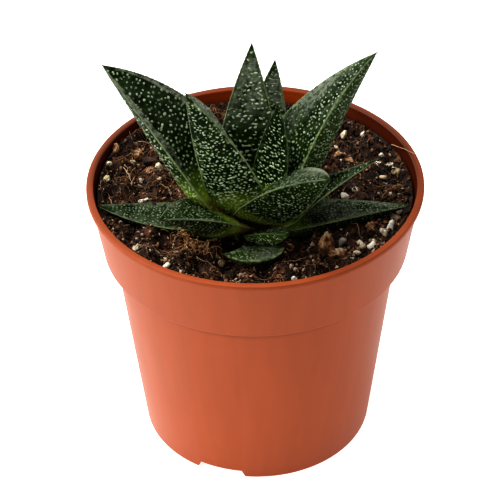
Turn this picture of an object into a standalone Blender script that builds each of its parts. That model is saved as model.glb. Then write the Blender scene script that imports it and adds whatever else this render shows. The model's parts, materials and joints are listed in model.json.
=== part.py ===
"""A potted gasteria: a rosette of thick, keeled, spotted leaves on a short stem, in peat, in a 10.5 cm pot.

Metres and degrees, +Z up. The origin is the centre of the pot's foot, on the surface the pot stands on.
-Y is the front. An azimuth of 0 points along +X, and 90 points to the back.
"""

import math
import random
from typing import NamedTuple

import bmesh
import bpy
import numpy as np
from mathutils import Matrix, Vector
from mathutils.bvhtree import BVHTree

# Colours, in linear light, and roughness
POT_COLOUR = (0.52, 0.13, 0.055)
POT_ROUGHNESS = 0.42
STEM_COLOUR = (0.20, 0.24, 0.06)
STEM_ROUGHNESS = 0.6
LEAF_COLOUR = (0.035, 0.10, 0.035)
LEAF_ROUGHNESS = 0.38
PEAT_COLOUR = (0.055, 0.030, 0.018)
PEAT_ROUGHNESS = 0.95

# The pot: a thin plastic shell with a deep collar and a foot ring
RIM_R = 0.0525
POT_H = 0.092
COLLAR_H = 0.0227
COLLAR_FOOT_R = 0.0481
BODY_TOP_R = 0.0447
STEP_H = 0.0017
FOOT_R = 0.0369
WALL = 0.0013
LIP_W = 0.0019
LIP_H = 0.0015
LIP_OUT = 0.0008
EDGE_R = 0.0005
FOOT_W = 0.0020
FLOOR_UNDER = 0.0028
FLOOR_T = 0.0012
CENTRE_HOLE_R = 0.0040
DRAIN_R = 0.0034
DRAIN_RING_R = 0.0250
DRAINS = 8
DRAIN_SIDES = 12
NOTCHES = 3
NOTCH_AZIMUTH = 251.0
NOTCH_W = 0.0162
NOTCH_H = 0.0028
NOTCH_SLANT = 0.0012
POT_STEPS = 48

# The plant's own axis, off the pot's centre
PLANT_X = -0.002
PLANT_Y = -0.013

# The gap between pieces that touch, and the height of the raised leaf spots
GAP = 0.0003
SPOT_H = 0.0003

# The distance within which mesh points are made one, and the angle past which an edge stays sharp
MERGE = 0.00001
SHARP_EDGE = 35.0

# The stem, from its root end in the soil to its domed top among the leaves
STEM_R = 0.0045
STEM_FOOT_Z = 0.062
STEM_TOP_Z = 0.091
STEM_BLUNT = 0.0018
STEM_SIDES = 20

# The soil
SOIL_Z = 0.0858
SOIL_BUMP = 0.0007
SOIL_WAVE = 700.0
SOIL_WAVES = 5
SOIL_DIP = 0.0034
SOIL_DIP_R = 0.017
SOIL_DIP_AHEAD = 0.007
SOIL_RINGS = 12
SOIL_STEPS = 44
SOIL_SEED = 7
SOIL_EDGE_ROOM = 0.0032
HOLE_DEPTH_BELOW_STEM = 0.0010

# Leaf sections: how wide the base is, where the leaf is widest, and how its faces bow
LEAF_BASE = 0.78
LEAF_WIDEST = 0.22
LEAF_ROOT = -0.10
LEAF_DISH = 0.05
LEAF_BELLY = 0.07
DEPTH_POWER = 0.9
SPOT_PITCH = 0.0040
FEWEST_ROWS = 8
UPPER_CELLS = 4
SIDE_CELLS = 3
FINE_STEPS = 240
SHELL_LIMIT = 2.5


class Leaf(NamedTuple):
    """One leaf. It starts out from the plant's axis, at a height, and runs along its centreline to the tip.

    rise is its slope at the start and lift how much that slope changes by the tip. sway is how far it turns
    sideways. roll tilts its upper face about its length, and twist is how much that grows by the tip. keel is
    the keel's place across the back, from -1 to 1, and taper the power that its outline narrows by.
    """

    name: str
    azimuth: float
    rise: float
    lift: float
    sway: float
    length: float
    width: float
    depth: float
    roll: float
    twist: float
    out: float
    up: float
    keel: float
    taper: float


# The leaves in front come first: where two leaf bases meet, the later one is hollowed to clasp the earlier
LEAVES = (
    Leaf("leaf_front_right", 318, 51, -26, -16, 0.0475, 0.0205, 0.0120, 6, -8, 0.0000, 0.0940, 0.0, 2.0),
    Leaf("leaf_front_short", 308, 37, -18, -2, 0.0210, 0.0110, 0.0060, -4, -7, 0.0020, 0.0835, 0.0, 1.6),
    Leaf("leaf_front_lowest", 296, 29, -20, -125, 0.0245, 0.0125, 0.0065, 1, -3, 0.0080, 0.0830, 0.0, 1.8),
    Leaf("leaf_left_short", 216, 43, -33, 11, 0.0345, 0.0190, 0.0085, 4, -6, 0.0045, 0.0895, 0.0, 1.7),
    Leaf("leaf_front_left", 209, 79, -30, -1, 0.0535, 0.0215, 0.0140, -2, -7, -0.0030, 0.0930, 0.0, 1.9),
    Leaf("leaf_young", 25, 72, 18, 7, 0.0325, 0.0130, 0.0030, 19, 8, 0.0050, 0.0945, 0.0, 1.7),
    Leaf("leaf_right_tall", 39, 65, -33, -26, 0.0610, 0.0215, 0.0120, -1, -3, 0.0040, 0.0900, -0.5, 1.7),
    Leaf("leaf_back_tall", 90, 70, -9, -8, 0.0485, 0.0195, 0.0055, -2, 0, 0.0035, 0.0920, 0.0, 1.5),
    Leaf("leaf_left_tall", 168, 66, -31, 7, 0.0650, 0.0235, 0.0100, -16, -14, 0.0025, 0.0905, 0.6, 2.0),
    Leaf("leaf_back_small", 72, 59, 1, 4, 0.0445, 0.0165, 0.0045, 4, 2, 0.0075, 0.0880, 0.0, 1.7),
    Leaf("leaf_right_slim", 0, 35, -2, -4, 0.0405, 0.0160, 0.0055, 11, -3, 0.0065, 0.0880, 0.1, 0.7),
    Leaf("leaf_left_low", 181, -1, 7, -13, 0.0425, 0.0160, 0.0080, 9, -11, 0.0050, 0.0880, 0.1, 1.8),
    Leaf("leaf_right_low", 3, 9, -9, -2, 0.0450, 0.0160, 0.0080, -2, -7, 0.0050, 0.0865, -0.1, 1.5),
    Leaf("leaf_rear_left", 122, 34, -12, 6, 0.0270, 0.0150, 0.0065, 0, 0, 0.0060, 0.0885, 0.0, 1.7),
    Leaf("leaf_rear_right", 52, 42, -14, -4, 0.0240, 0.0140, 0.0060, 0, 0, 0.0070, 0.0880, 0.0, 1.7),
)


class Lump(NamedTuple):
    """A chip or grain in the soil: its place, its half sizes, its turn about Z and its lean."""

    x: float
    y: float
    half: tuple
    turn: float
    lean: float


# The larger bark chips and perlite grains, and how many small ones are strewn around them
CHIPS = (
    Lump(0.0210, -0.0275, (0.0022, 0.0016, 0.0050), 20, 14),
    Lump(0.0262, -0.0300, (0.0036, 0.0018, 0.0022), 35, 0),
    Lump(-0.0215, -0.0270, (0.0048, 0.0022, 0.0020), 150, 8),
    Lump(-0.0150, -0.0370, (0.0034, 0.0020, 0.0018), 60, 0),
    Lump(0.0080, -0.0400, (0.0030, 0.0018, 0.0016), 10, 0),
    Lump(0.0330, -0.0010, (0.0030, 0.0020, 0.0016), 100, 0),
    Lump(-0.0300, 0.0120, (0.0036, 0.0022, 0.0018), 130, 0),
    Lump(-0.0180, 0.0260, (0.0040, 0.0020, 0.0016), 30, 0),
)
PERLITE = (
    Lump(0.0435, -0.0150, (0.0014, 0.0012, 0.0011), 0, 0),
    Lump(0.0405, -0.0175, (0.0015, 0.0012, 0.0011), 40, 0),
    Lump(0.0330, -0.0235, (0.0013, 0.0012, 0.0010), 80, 0),
    Lump(0.0365, -0.0245, (0.0015, 0.0013, 0.0011), 15, 0),
    Lump(0.0420, 0.0040, (0.0012, 0.0012, 0.0010), 0, 0),
    Lump(-0.0350, -0.0250, (0.0015, 0.0011, 0.0010), 60, 0),
)
STREWN = 36
STREWN_HALF = (0.0009, 0.0021)
STREWN_SHAPE = (1.0, 0.75, 0.65)
LUMP_SINK = 0.35
LUMP_SPACING = 0.0045


def clear_scene():
    """Removes every object of the scene this is run in."""
    for obj in list(bpy.data.objects):
        bpy.data.objects.remove(obj, do_unlink=True)


def new_collection(name):
    """A new collection in the scene."""
    made = bpy.data.collections.new(name)
    bpy.context.scene.collection.children.link(made)
    return made


def material(name, colour, roughness):
    """A plain dielectric material."""
    made = bpy.data.materials.new(name)
    made.use_nodes = True
    shader = made.node_tree.nodes["Principled BSDF"]
    shader.inputs["Base Color"].default_value = (*colour, 1.0)
    shader.inputs["Roughness"].default_value = roughness
    shader.inputs["Metallic"].default_value = 0.0
    return made


def new_object(name, mesh, home, finish=None):
    """An object for a mesh, in a collection. One with no finish is a cutter, drawn as a wire."""
    obj = bpy.data.objects.new(name, mesh)
    home.objects.link(obj)
    if finish:
        mesh.materials.append(finish)
    else:
        obj.hide_render = True
        obj.display_type = "WIRE"
    return obj


def mesh_of(name, bm):
    """A mesh made from a bmesh, which is then freed."""
    mesh = bpy.data.meshes.new(name)
    bm.to_mesh(mesh)
    bm.free()
    return mesh


def cut(obj, cutter):
    """Cuts one mesh object out of another."""
    boolean = obj.modifiers.new("cut", "BOOLEAN")
    boolean.operation = "DIFFERENCE"
    boolean.object = cutter


def settle(obj):
    """Applies an object's modifiers, and keeps only the largest body that they leave."""
    graph = bpy.context.evaluated_depsgraph_get()
    mesh = bpy.data.meshes.new_from_object(obj.evaluated_get(graph))
    obj.modifiers.clear()
    bm = bmesh.new()
    bm.from_mesh(mesh)
    bodies = islands(bm)
    scraps = [vert for body in sorted(bodies, key=len)[:-1] for vert in body]
    bmesh.ops.delete(bm, geom=scraps, context="VERTS")
    bm.to_mesh(mesh)
    bm.free()
    obj.data = mesh


def islands(bm):
    """The connected sets of vertices of a mesh."""
    left = set(bm.verts)
    found = []
    while left:
        body = {left.pop()}
        edge_of_body = set(body)
        while edge_of_body:
            reached = {e.other_vert(v) for v in edge_of_body for e in v.link_edges}
            edge_of_body = reached - body
            body |= reached
        left -= body
        found.append(body)
    return found


def smooth(obj):
    """Shades an object smooth, with its real edges sharp."""
    obj.data.shade_smooth()
    obj.data.set_sharp_from_angle(angle=math.radians(SHARP_EDGE))


def turned(name, profile, steps, home, finish):
    """A closed profile of (radius, height) points turned about Z by a Screw modifier."""
    bm = bmesh.new()
    points = [bm.verts.new((r, 0.0, z)) for r, z in profile]
    for start, end in zip(points, points[1:] + points[:1]):
        bm.edges.new((start, end))
    obj = new_object(name, mesh_of(name, bm), home, finish)
    screw = obj.modifiers.new("turn", "SCREW")
    screw.steps = steps
    screw.render_steps = steps
    screw.use_merge_vertices = True
    screw.merge_threshold = MERGE
    return obj


def wall_r(z):
    """The pot's outer radius at a height."""
    collar_foot = POT_H - COLLAR_H
    if z >= collar_foot:
        return COLLAR_FOOT_R + (RIM_R - LIP_OUT - COLLAR_FOOT_R) * (z - collar_foot) / COLLAR_H
    body_top = collar_foot - STEP_H
    return FOOT_R + (BODY_TOP_R - FOOT_R) * z / body_top


def pot_profile():
    """The pot's section: down the outside, across the foot and floor, and up the inside to the lip."""
    collar_foot = POT_H - COLLAR_H
    body_top = collar_foot - STEP_H
    floor_top = FLOOR_UNDER + FLOOR_T
    lip_inner = RIM_R - LIP_W
    lip_under = POT_H - LIP_H
    rounding = [math.radians(a) for a in (90, 45, 0)]
    outside = [(RIM_R - EDGE_R * (1 - math.cos(a)), POT_H - EDGE_R * (1 - math.sin(a))) for a in rounding]
    outside += [(RIM_R, lip_under + EDGE_R), (wall_r(lip_under), lip_under)]
    outside += [(COLLAR_FOOT_R, collar_foot), (COLLAR_FOOT_R - EDGE_R, collar_foot - EDGE_R)]
    outside += [(BODY_TOP_R, body_top), (wall_r(EDGE_R), EDGE_R), (FOOT_R - EDGE_R, 0.0)]
    under = [(FOOT_R - FOOT_W, 0.0), (FOOT_R - FOOT_W, FLOOR_UNDER), (CENTRE_HOLE_R, FLOOR_UNDER)]
    inside = [(CENTRE_HOLE_R, floor_top), (wall_r(floor_top) - WALL, floor_top)]
    inside += [(BODY_TOP_R - WALL, body_top), (COLLAR_FOOT_R - WALL, collar_foot + WALL)]
    inside += [(wall_r(lip_under) - WALL, lip_under), (lip_inner, POT_H - EDGE_R)]
    inside += [(lip_inner + EDGE_R, POT_H)]
    return outside + under + inside


def drain_cutter(home):
    """Round drain holes in a ring through the pot's floor."""
    bm = bmesh.new()
    for hole in range(DRAINS):
        angle = 2 * math.pi * (hole + 0.5) / DRAINS
        place = Vector((DRAIN_RING_R * math.cos(angle), DRAIN_RING_R * math.sin(angle), FLOOR_UNDER))
        bmesh.ops.create_cone(
            bm,
            cap_ends=True,
            segments=DRAIN_SIDES,
            radius1=DRAIN_R,
            radius2=DRAIN_R,
            depth=4 * FLOOR_T,
            matrix=Matrix.Translation(place),
        )
    return new_object("drain_cutter", mesh_of("drain_cutter", bm), home)


def notch_cutter(home):
    """Blocks with slanted ends that cut the notches in the foot ring."""
    bm = bmesh.new()
    reach = 2 * FOOT_W + 2 * WALL
    for notch in range(NOTCHES):
        angle = math.radians(NOTCH_AZIMUTH + 360 * notch / NOTCHES)
        size = Matrix.Diagonal((2 * reach, NOTCH_W, 2 * NOTCH_H, 1.0))
        block = bmesh.ops.create_cube(bm, size=1.0, matrix=size)["verts"]
        for vert in block:
            if vert.co.z > 0:
                vert.co.y -= math.copysign(NOTCH_SLANT, vert.co.y)
        out = Matrix.Rotation(angle, 4, "Z") @ Matrix.Translation((FOOT_R, 0.0, 0.0))
        bmesh.ops.transform(bm, matrix=out, verts=block)
    return new_object("notch_cutter", mesh_of("notch_cutter", bm), home)


def make_pot(parts, cutters):
    """The pot's shell, with its drain holes and the notches in its foot."""
    finish = material("terracotta_plastic", POT_COLOUR, POT_ROUGHNESS)
    pot = turned("pot", pot_profile(), POT_STEPS, parts, finish)
    cut(pot, drain_cutter(cutters))
    cut(pot, notch_cutter(cutters))
    settle(pot)
    smooth(pot)


def stem_profile(gap):
    """Half of the stem's section: a rod with a domed top and a blunt root end."""
    radius = STEM_R + gap
    dome = [math.radians(a) for a in (60, 30, 0)]
    top = STEM_TOP_Z + gap
    points = [(0.0, top)]
    points += [(radius * math.cos(a), top - radius * (1 - math.sin(a))) for a in dome]
    foot = STEM_FOOT_Z - gap
    return points + [(radius, foot + STEM_BLUNT), (radius - STEM_BLUNT, foot), (0.0, foot)]


def spun(profile, steps):
    """A bmesh of a profile that starts and ends on the axis, turned about Z."""
    bm = bmesh.new()
    points = [bm.verts.new((r, 0.0, z)) for r, z in profile]
    for start, end in zip(points, points[1:]):
        bm.edges.new((start, end))
    geom = bm.verts[:] + bm.edges[:]
    bmesh.ops.spin(
        bm, geom=geom, axis=(0, 0, 1), cent=(0, 0, 0), angle=2 * math.pi, steps=steps, use_merge=True
    )
    bmesh.ops.remove_doubles(bm, verts=bm.verts, dist=MERGE)
    bmesh.ops.recalc_face_normals(bm, faces=bm.faces)
    return bm


def stem_form(name, gap, home, finish=None):
    """The stem's form at the plant's place, larger by a gap all round."""
    bm = spun(stem_profile(gap), STEM_SIDES)
    bmesh.ops.translate(bm, vec=(PLANT_X, PLANT_Y, 0.0), verts=bm.verts)
    return new_object(name, mesh_of(name, bm), home, finish)


def make_stem(parts, cutters):
    """The stem. Returns the form that gives everything around it room."""
    stem = stem_form("stem", 0.0, parts, material("stem_skin", STEM_COLOUR, STEM_ROUGHNESS))
    smooth(stem)
    return stem_form("stem_room", GAP, cutters)


def outline(leaf, t):
    """The leaf's width along its length, from 0 to 1: a swelling base, then a taper to the tip."""
    base = LEAF_BASE + (1 - LEAF_BASE) * np.sin(0.5 * np.pi * np.minimum(t / LEAF_WIDEST, 1.0))
    past = np.clip((t - LEAF_WIDEST) / (1 - LEAF_WIDEST), 0.0, 1.0)
    return np.where(t < LEAF_WIDEST, base, 1 - past**leaf.taper)


def heading(leaf, t):
    """The directions along, across and up out of the leaf at each place along it."""
    slope = np.radians(leaf.rise + leaf.lift * t)
    turn = np.radians(leaf.azimuth + leaf.sway * t)
    along = np.stack([np.cos(slope) * np.cos(turn), np.cos(slope) * np.sin(turn), np.sin(slope)], -1)
    level = np.stack([-np.sin(turn), np.cos(turn), np.zeros_like(turn)], -1)
    raised = np.cross(along, level)
    roll = np.radians(leaf.roll + leaf.twist * t)[..., None]
    across = level * np.cos(roll) + raised * np.sin(roll)
    return along, across, raised * np.cos(roll) - level * np.sin(roll)


def centreline(leaf, t):
    """Points on the middle of the upper face: the heading summed along the leaf from its start."""
    fine = np.linspace(LEAF_ROOT, 1.0, FINE_STEPS)
    along = heading(leaf, fine)[0]
    steps = 0.5 * (along[1:] + along[:-1]) * np.diff(fine)[:, None] * leaf.length
    path = np.vstack([np.zeros(3), np.cumsum(steps, 0)])
    start = np.array([np.interp(0.0, fine, path[:, axis]) for axis in range(3)])
    turn = math.radians(leaf.azimuth)
    foot = np.array([PLANT_X + leaf.out * math.cos(turn), PLANT_Y + leaf.out * math.sin(turn), leaf.up])
    return foot + np.stack([np.interp(t, fine, path[:, axis]) - start[axis] for axis in range(3)], -1)


def section(leaf):
    """The leaf's cross-section, as points (across, up) for a half width and a depth of 1.

    The upper face is a little dished from margin to margin, and the two outer faces bow out to the keel.
    """
    upper = np.linspace(1, -1, UPPER_CELLS, endpoint=False)
    upper = np.stack([upper, -LEAF_DISH * (1 - upper**2)], -1)
    down = np.linspace(0, 1, SIDE_CELLS, endpoint=False)[:, None]
    bow = LEAF_BELLY * 4 * down * (1 - down)
    minus, keel, plus = np.array([-1, 0]), np.array([leaf.keel, -1]), np.array([1, 0])
    left = minus + (keel - minus) * down + bow * np.array([-1, -1])
    right = keel + (plus - keel) * down + bow * np.array([1, -1])
    return np.vstack([upper, left, right])


def leaf_bmesh(leaf):
    """A leaf's skin: its section carried along its centreline, closed at the root and drawn to a tip."""
    rows = max(FEWEST_ROWS, round(leaf.length * (1 - LEAF_ROOT) / SPOT_PITCH))
    t = LEAF_ROOT + (1 - LEAF_ROOT) * np.linspace(0, 1, rows + 1)[:-1]
    size = outline(leaf, t)
    _, across, up = heading(leaf, t)
    shape = section(leaf)
    wide = (0.5 * leaf.width * size)[:, None] * shape[None, :, 0]
    deep = (leaf.depth * size**DEPTH_POWER)[:, None] * shape[None, :, 1]
    points = centreline(leaf, t)[:, None, :] + wide[..., None] * across[:, None, :]
    points = points + deep[..., None] * up[:, None, :]
    bm = bmesh.new()
    rings = [[bm.verts.new(point) for point in ring] for ring in points]
    root = bm.verts.new(points[0].mean(0))
    tip = bm.verts.new(centreline(leaf, np.array([1.0]))[0])
    count = len(shape)
    for ring, following in zip(rings, rings[1:]):
        for i in range(count):
            j = (i + 1) % count
            bm.faces.new((ring[i], ring[j], following[j], following[i]))
    for i in range(count):
        j = (i + 1) % count
        bm.faces.new((root, rings[0][j], rings[0][i]))
        bm.faces.new((rings[-1][i], rings[-1][j], tip))
    bmesh.ops.recalc_face_normals(bm, faces=bm.faces)
    return bm


def raise_spots(bm):
    """Raises the middle of each four-sided cell of the skin into a low spot."""
    cells = [face for face in bm.faces if len(face.verts) == 4]
    bmesh.ops.poke(bm, faces=cells, offset=SPOT_H, center_mode="MEAN")
    bmesh.ops.triangulate(bm, faces=bm.faces)


def grow(bm, by):
    """Moves a skin outwards by the same thickness all over."""
    bm.normal_update()
    places = [(vert, vert.normal * by * min(vert.calc_shell_factor(), SHELL_LIMIT)) for vert in bm.verts]
    for vert, move in places:
        vert.co += move


def leaf_room(leaf, cutters):
    """The form that gives what touches a leaf room for its spots and the gap."""
    bm = leaf_bmesh(leaf)
    grow(bm, SPOT_H + GAP)
    bmesh.ops.triangulate(bm, faces=bm.faces)
    name = leaf.name + "_room"
    return new_object(name, mesh_of(name, bm), cutters)


def tree_of(obj):
    """A search tree of an object's faces."""
    bm = bmesh.new()
    bm.from_mesh(obj.data)
    tree = BVHTree.FromBMesh(bm)
    bm.free()
    return tree


def cut_where_met(obj, rooms):
    """Cuts an object by each of the rooms that its surface meets."""
    own = tree_of(obj)
    for room in rooms:
        if own.overlap(tree_of(room)):
            cut(obj, room)
    settle(obj)


def make_leaves(parts, cutters, stem_room):
    """The leaves, each hollowed at its base for the stem and the leaves before it. Returns their rooms."""
    rooms = []
    for leaf in LEAVES:
        finish = material(leaf.name + "_skin", LEAF_COLOUR, LEAF_ROUGHNESS)
        bm = leaf_bmesh(leaf)
        raise_spots(bm)
        obj = new_object(leaf.name, mesh_of(leaf.name, bm), parts, finish)
        cut_where_met(obj, [stem_room, *rooms])
        rooms.append(leaf_room(leaf, cutters))
    return rooms


def soil_profile():
    """Half of the soil's section: over its flat top, down the pot's wall and across the floor."""
    body_top = POT_H - COLLAR_H - STEP_H
    collar_foot = POT_H - COLLAR_H
    floor = FLOOR_UNDER + FLOOR_T + GAP
    room = WALL + GAP
    edge = wall_r(SOIL_Z) - room
    points = [(edge * ring / SOIL_RINGS, SOIL_Z) for ring in range(SOIL_RINGS + 1)]
    points += [(COLLAR_FOOT_R - room, collar_foot + WALL), (BODY_TOP_R - room, body_top)]
    return points + [(wall_r(floor) - room, floor), (0.0, floor)]


def dip(x, y):
    """How far the soil's top dips in front of and around the plant, where watering has settled it."""
    away = math.dist((x, y), (PLANT_X, PLANT_Y - SOIL_DIP_AHEAD)) / SOIL_DIP_R
    return SOIL_DIP * math.exp(-away * away)


def crumble(vert, waves):
    """Lifts a point of the soil's top by waves that run in all directions, level at the pot's wall."""
    height = sum(math.sin(vert.co.x * ax + vert.co.y * ay + phase) for ax, ay, phase in waves)
    room = wall_r(SOIL_Z) - WALL - GAP - math.hypot(vert.co.x, vert.co.y)
    vert.co.z += (SOIL_BUMP * height - dip(vert.co.x, vert.co.y)) * min(1.0, room / SOIL_EDGE_ROOM)


def lump_bmesh(bm, lump):
    """Adds a faceted chip or grain to a mesh, sunk into the soil's top."""
    height = SOIL_Z - dip(lump.x, lump.y) + lump.half[2] * (1 - 2 * LUMP_SINK)
    place = Matrix.Translation((lump.x, lump.y, height)) @ Matrix.Rotation(math.radians(lump.turn), 4, "Z")
    lean = Matrix.Rotation(math.radians(lump.lean), 4, "X")
    bmesh.ops.create_icosphere(
        bm, subdivisions=1, radius=1.0, matrix=place @ lean @ Matrix.Diagonal((*lump.half, 1.0))
    )


def strewn_lumps(rng):
    """Small grains and chips strewn evenly over the soil, clear of the pot's wall."""
    reach = wall_r(SOIL_Z) - WALL - SOIL_EDGE_ROOM
    found = []
    while len(found) < STREWN:
        x = rng.uniform(-reach, reach)
        y = rng.uniform(-reach, reach)
        long_half = rng.uniform(*STREWN_HALF)
        half = tuple(share * long_half for share in STREWN_SHAPE)
        turn = rng.uniform(0, 180)
        near = any(math.dist((x, y), (lump.x, lump.y)) < LUMP_SPACING for lump in (*found, *CHIPS, *PERLITE))
        if math.hypot(x, y) < reach and not near:
            found.append(Lump(x, y, half, turn, 0))
    return found


def make_soil(parts, cutters, rooms):
    """The soil: a crumbled top with chips and grains, a plain hole for the stem, and leaf hollows."""
    rng = random.Random(SOIL_SEED)
    bm = spun(soil_profile(), SOIL_STEPS)
    waves = [
        (rng.uniform(-SOIL_WAVE, SOIL_WAVE), rng.uniform(-SOIL_WAVE, SOIL_WAVE), rng.uniform(0, 2 * math.pi))
        for _ in range(SOIL_WAVES)
    ]
    for vert in bm.verts:
        if abs(vert.co.z - SOIL_Z) < MERGE:
            crumble(vert, waves)
    bmesh.ops.triangulate(bm, faces=bm.faces)
    soil = new_object("soil", mesh_of("soil", bm), parts, material("peat", PEAT_COLOUR, PEAT_ROUGHNESS))
    join_lumps(soil, (*CHIPS, *PERLITE, *strewn_lumps(rng)))
    cut(soil, stem_hole_cutter(cutters))
    settle(soil)
    cut_where_met(soil, rooms)


def join_lumps(soil, lumps):
    """Joins chips and grains to the soil."""
    strewn = bpy.data.collections.new("strewn")
    for number, lump in enumerate(lumps):
        grain = bmesh.new()
        lump_bmesh(grain, lump)
        name = f"grain_{number}"
        new_object(name, mesh_of(name, grain), strewn)
    join = soil.modifiers.new("join", "BOOLEAN")
    join.operation = "UNION"
    join.operand_type = "COLLECTION"
    join.collection = strewn
    settle(soil)
    for obj in list(strewn.objects):
        bpy.data.objects.remove(obj, do_unlink=True)
    bpy.data.collections.remove(strewn)


def stem_hole_cutter(cutters):
    """A plain round cutter for the hole that the stem stands in."""
    bm = bmesh.new()
    foot = STEM_FOOT_Z - HOLE_DEPTH_BELOW_STEM
    height = POT_H - foot
    place = Matrix.Translation((PLANT_X, PLANT_Y, foot + 0.5 * height))
    radius = STEM_R + GAP
    bmesh.ops.create_cone(
        bm, cap_ends=True, segments=STEM_SIDES, radius1=radius, radius2=radius, depth=height, matrix=place
    )
    return new_object("stem_hole_cutter", mesh_of("stem_hole_cutter", bm), cutters)


def main():
    clear_scene()
    parts = new_collection("potted_gasteria")
    cutters = new_collection("cutters")
    make_pot(parts, cutters)
    stem_room = make_stem(parts, cutters)
    rooms = make_leaves(parts, cutters, stem_room)
    make_soil(parts, cutters, rooms)


main()
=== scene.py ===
"""The looks of a potted gasteria: keeled leaves with raised pale spots, crumbled peat and a moulded pot.

Sizes are in metres and angles in degrees. The origin is the centre of the pot's foot, +Z is up and -Y is the
front. Each new piece is a surface of two parameters, worked out over whole numpy arrays.
"""

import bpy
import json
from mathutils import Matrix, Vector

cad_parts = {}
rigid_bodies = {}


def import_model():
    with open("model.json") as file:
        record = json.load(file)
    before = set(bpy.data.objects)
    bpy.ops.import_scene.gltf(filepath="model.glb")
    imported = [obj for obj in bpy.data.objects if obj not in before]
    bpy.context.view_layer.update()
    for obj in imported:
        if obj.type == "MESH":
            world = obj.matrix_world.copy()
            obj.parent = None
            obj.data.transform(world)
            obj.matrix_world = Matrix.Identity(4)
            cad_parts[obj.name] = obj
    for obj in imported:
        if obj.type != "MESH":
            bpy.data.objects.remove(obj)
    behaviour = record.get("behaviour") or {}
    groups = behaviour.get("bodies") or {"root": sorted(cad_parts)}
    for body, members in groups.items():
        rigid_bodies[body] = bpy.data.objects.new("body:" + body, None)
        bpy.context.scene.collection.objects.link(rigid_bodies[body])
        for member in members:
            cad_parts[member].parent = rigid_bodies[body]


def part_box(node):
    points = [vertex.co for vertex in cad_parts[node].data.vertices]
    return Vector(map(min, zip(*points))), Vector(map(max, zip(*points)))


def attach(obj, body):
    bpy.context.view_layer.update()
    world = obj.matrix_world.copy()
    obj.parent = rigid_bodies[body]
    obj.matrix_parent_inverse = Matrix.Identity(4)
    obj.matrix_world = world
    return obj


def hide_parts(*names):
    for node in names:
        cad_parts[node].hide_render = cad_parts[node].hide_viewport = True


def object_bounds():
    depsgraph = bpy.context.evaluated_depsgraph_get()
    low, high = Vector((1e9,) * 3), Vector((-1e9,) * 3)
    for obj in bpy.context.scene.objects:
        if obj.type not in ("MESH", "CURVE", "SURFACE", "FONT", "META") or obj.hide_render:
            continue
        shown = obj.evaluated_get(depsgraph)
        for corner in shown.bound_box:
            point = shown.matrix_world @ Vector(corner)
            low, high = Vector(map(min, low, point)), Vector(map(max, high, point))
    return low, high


bl_info = {
    "name": "Potted gasteria",
    "version": (1, 0, 0),
    "blender": (4, 5, 0),
    "location": "View3D > Sidebar > Gasteria",
    "description": "Builds the leaves, stem, peat and pot of a potted gasteria, and its studio",
    "category": "Object",
}

import json
import math
import random
from typing import NamedTuple

import bpy
import numpy as np
from bpy.props import FloatProperty, FloatVectorProperty, IntProperty, PointerProperty
from mathutils import Matrix, Vector
from mathutils.bvhtree import BVHTree

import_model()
CAD_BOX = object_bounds()
POT_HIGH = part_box("pot")[1]
STEM_LOW, STEM_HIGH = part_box("stem")

# The pot's driving sizes
RIM_R = POT_HIGH.x
POT_H = POT_HIGH.z
COLLAR_H = 0.0227
COLLAR_FOOT_R = 0.0481
BODY_TOP_R = 0.0447
STEP_H = 0.0017
FOOT_R = 0.0369
WALL = 0.0013
LIP_W = 0.0023
LIP_H = 0.0015
LIP_OUT = 0.0008
EDGE_R = 0.0005
FOOT_W = 0.0020
FLOOR_UNDER = 0.0028
FLOOR_T = 0.0012
CENTRE_HOLE_R = 0.0040
DRAIN_R = 0.0034
DRAIN_RING_R = 0.0250
DRAINS = 8
NOTCHES = 3
NOTCH_AZIMUTH = 251.0
NOTCH_W = 0.0162
NOTCH_H = 0.0028
NOTCH_SLANT = 0.0012

# Heights in the pot: its collar's foot, its body's top and its floor's top
COLLAR_FOOT_Z = POT_H - COLLAR_H
BODY_TOP_Z = COLLAR_FOOT_Z - STEP_H
FLOOR_TOP_Z = FLOOR_UNDER + FLOOR_T

# The plant's own axis, its stem, and the gap left round the stem and inside the pot's wall
PLANT_X = 0.5 * (STEM_LOW.x + STEM_HIGH.x)
PLANT_Y = 0.5 * (STEM_LOW.y + STEM_HIGH.y)
STEM_R = 0.5 * (STEM_HIGH.x - STEM_LOW.x)
GAP = 0.0003

# The soil's top: its level, its long waves, the dip round the plant, the bank at the wall and its lumps
SOIL_Z = 0.0858
SOIL_BUMP = 0.0007
SOIL_WAVE = 700.0
SOIL_WAVES = 5
SOIL_DIP = 0.0034
SOIL_DIP_R = 0.017
SOIL_DIP_AHEAD = 0.007
SOIL_SEED = 7
SOIL_BANK = 0.0030
SOIL_BANK_R = (0.040, 0.0485)
SOIL_EDGE_ROOM = 0.0032
SOIL_UNDER_STEM = 0.001
SOIL_LUMPS = ((0.0022, 1), (0.0013, 2), (0.0008, 3))
SOIL_LUMP_SINK = 0.0010
LUMP_SINK = 0.35
LEAF_CLEAR_DROP = 0.003

# Leaf sections: how wide the base is, where the leaf is widest, and how its faces bow
LEAF_BASE = 0.78
LEAF_WIDEST = 0.22
LEAF_ROOT = -0.10
LEAF_DISH = 0.05
LEAF_BELLY = 0.07
DEPTH_POWER = 0.9
FINE_STEPS = 240
UPPER, LEFT, RIGHT = range(3)


class Leaf(NamedTuple):
    """One leaf. It starts out from the plant's axis, at a height, and runs along its centreline to the tip.

    rise is its slope at the start and lift how much that slope changes by the tip. sway is how far it turns
    sideways. roll tilts its upper face about its length, and twist is how much that grows by the tip. keel is
    the keel's place across the back, from -1 to 1, and taper the power that its outline narrows by.
    """

    name: str
    azimuth: float
    rise: float
    lift: float
    sway: float
    length: float
    width: float
    depth: float
    roll: float
    twist: float
    out: float
    up: float
    keel: float
    taper: float


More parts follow.
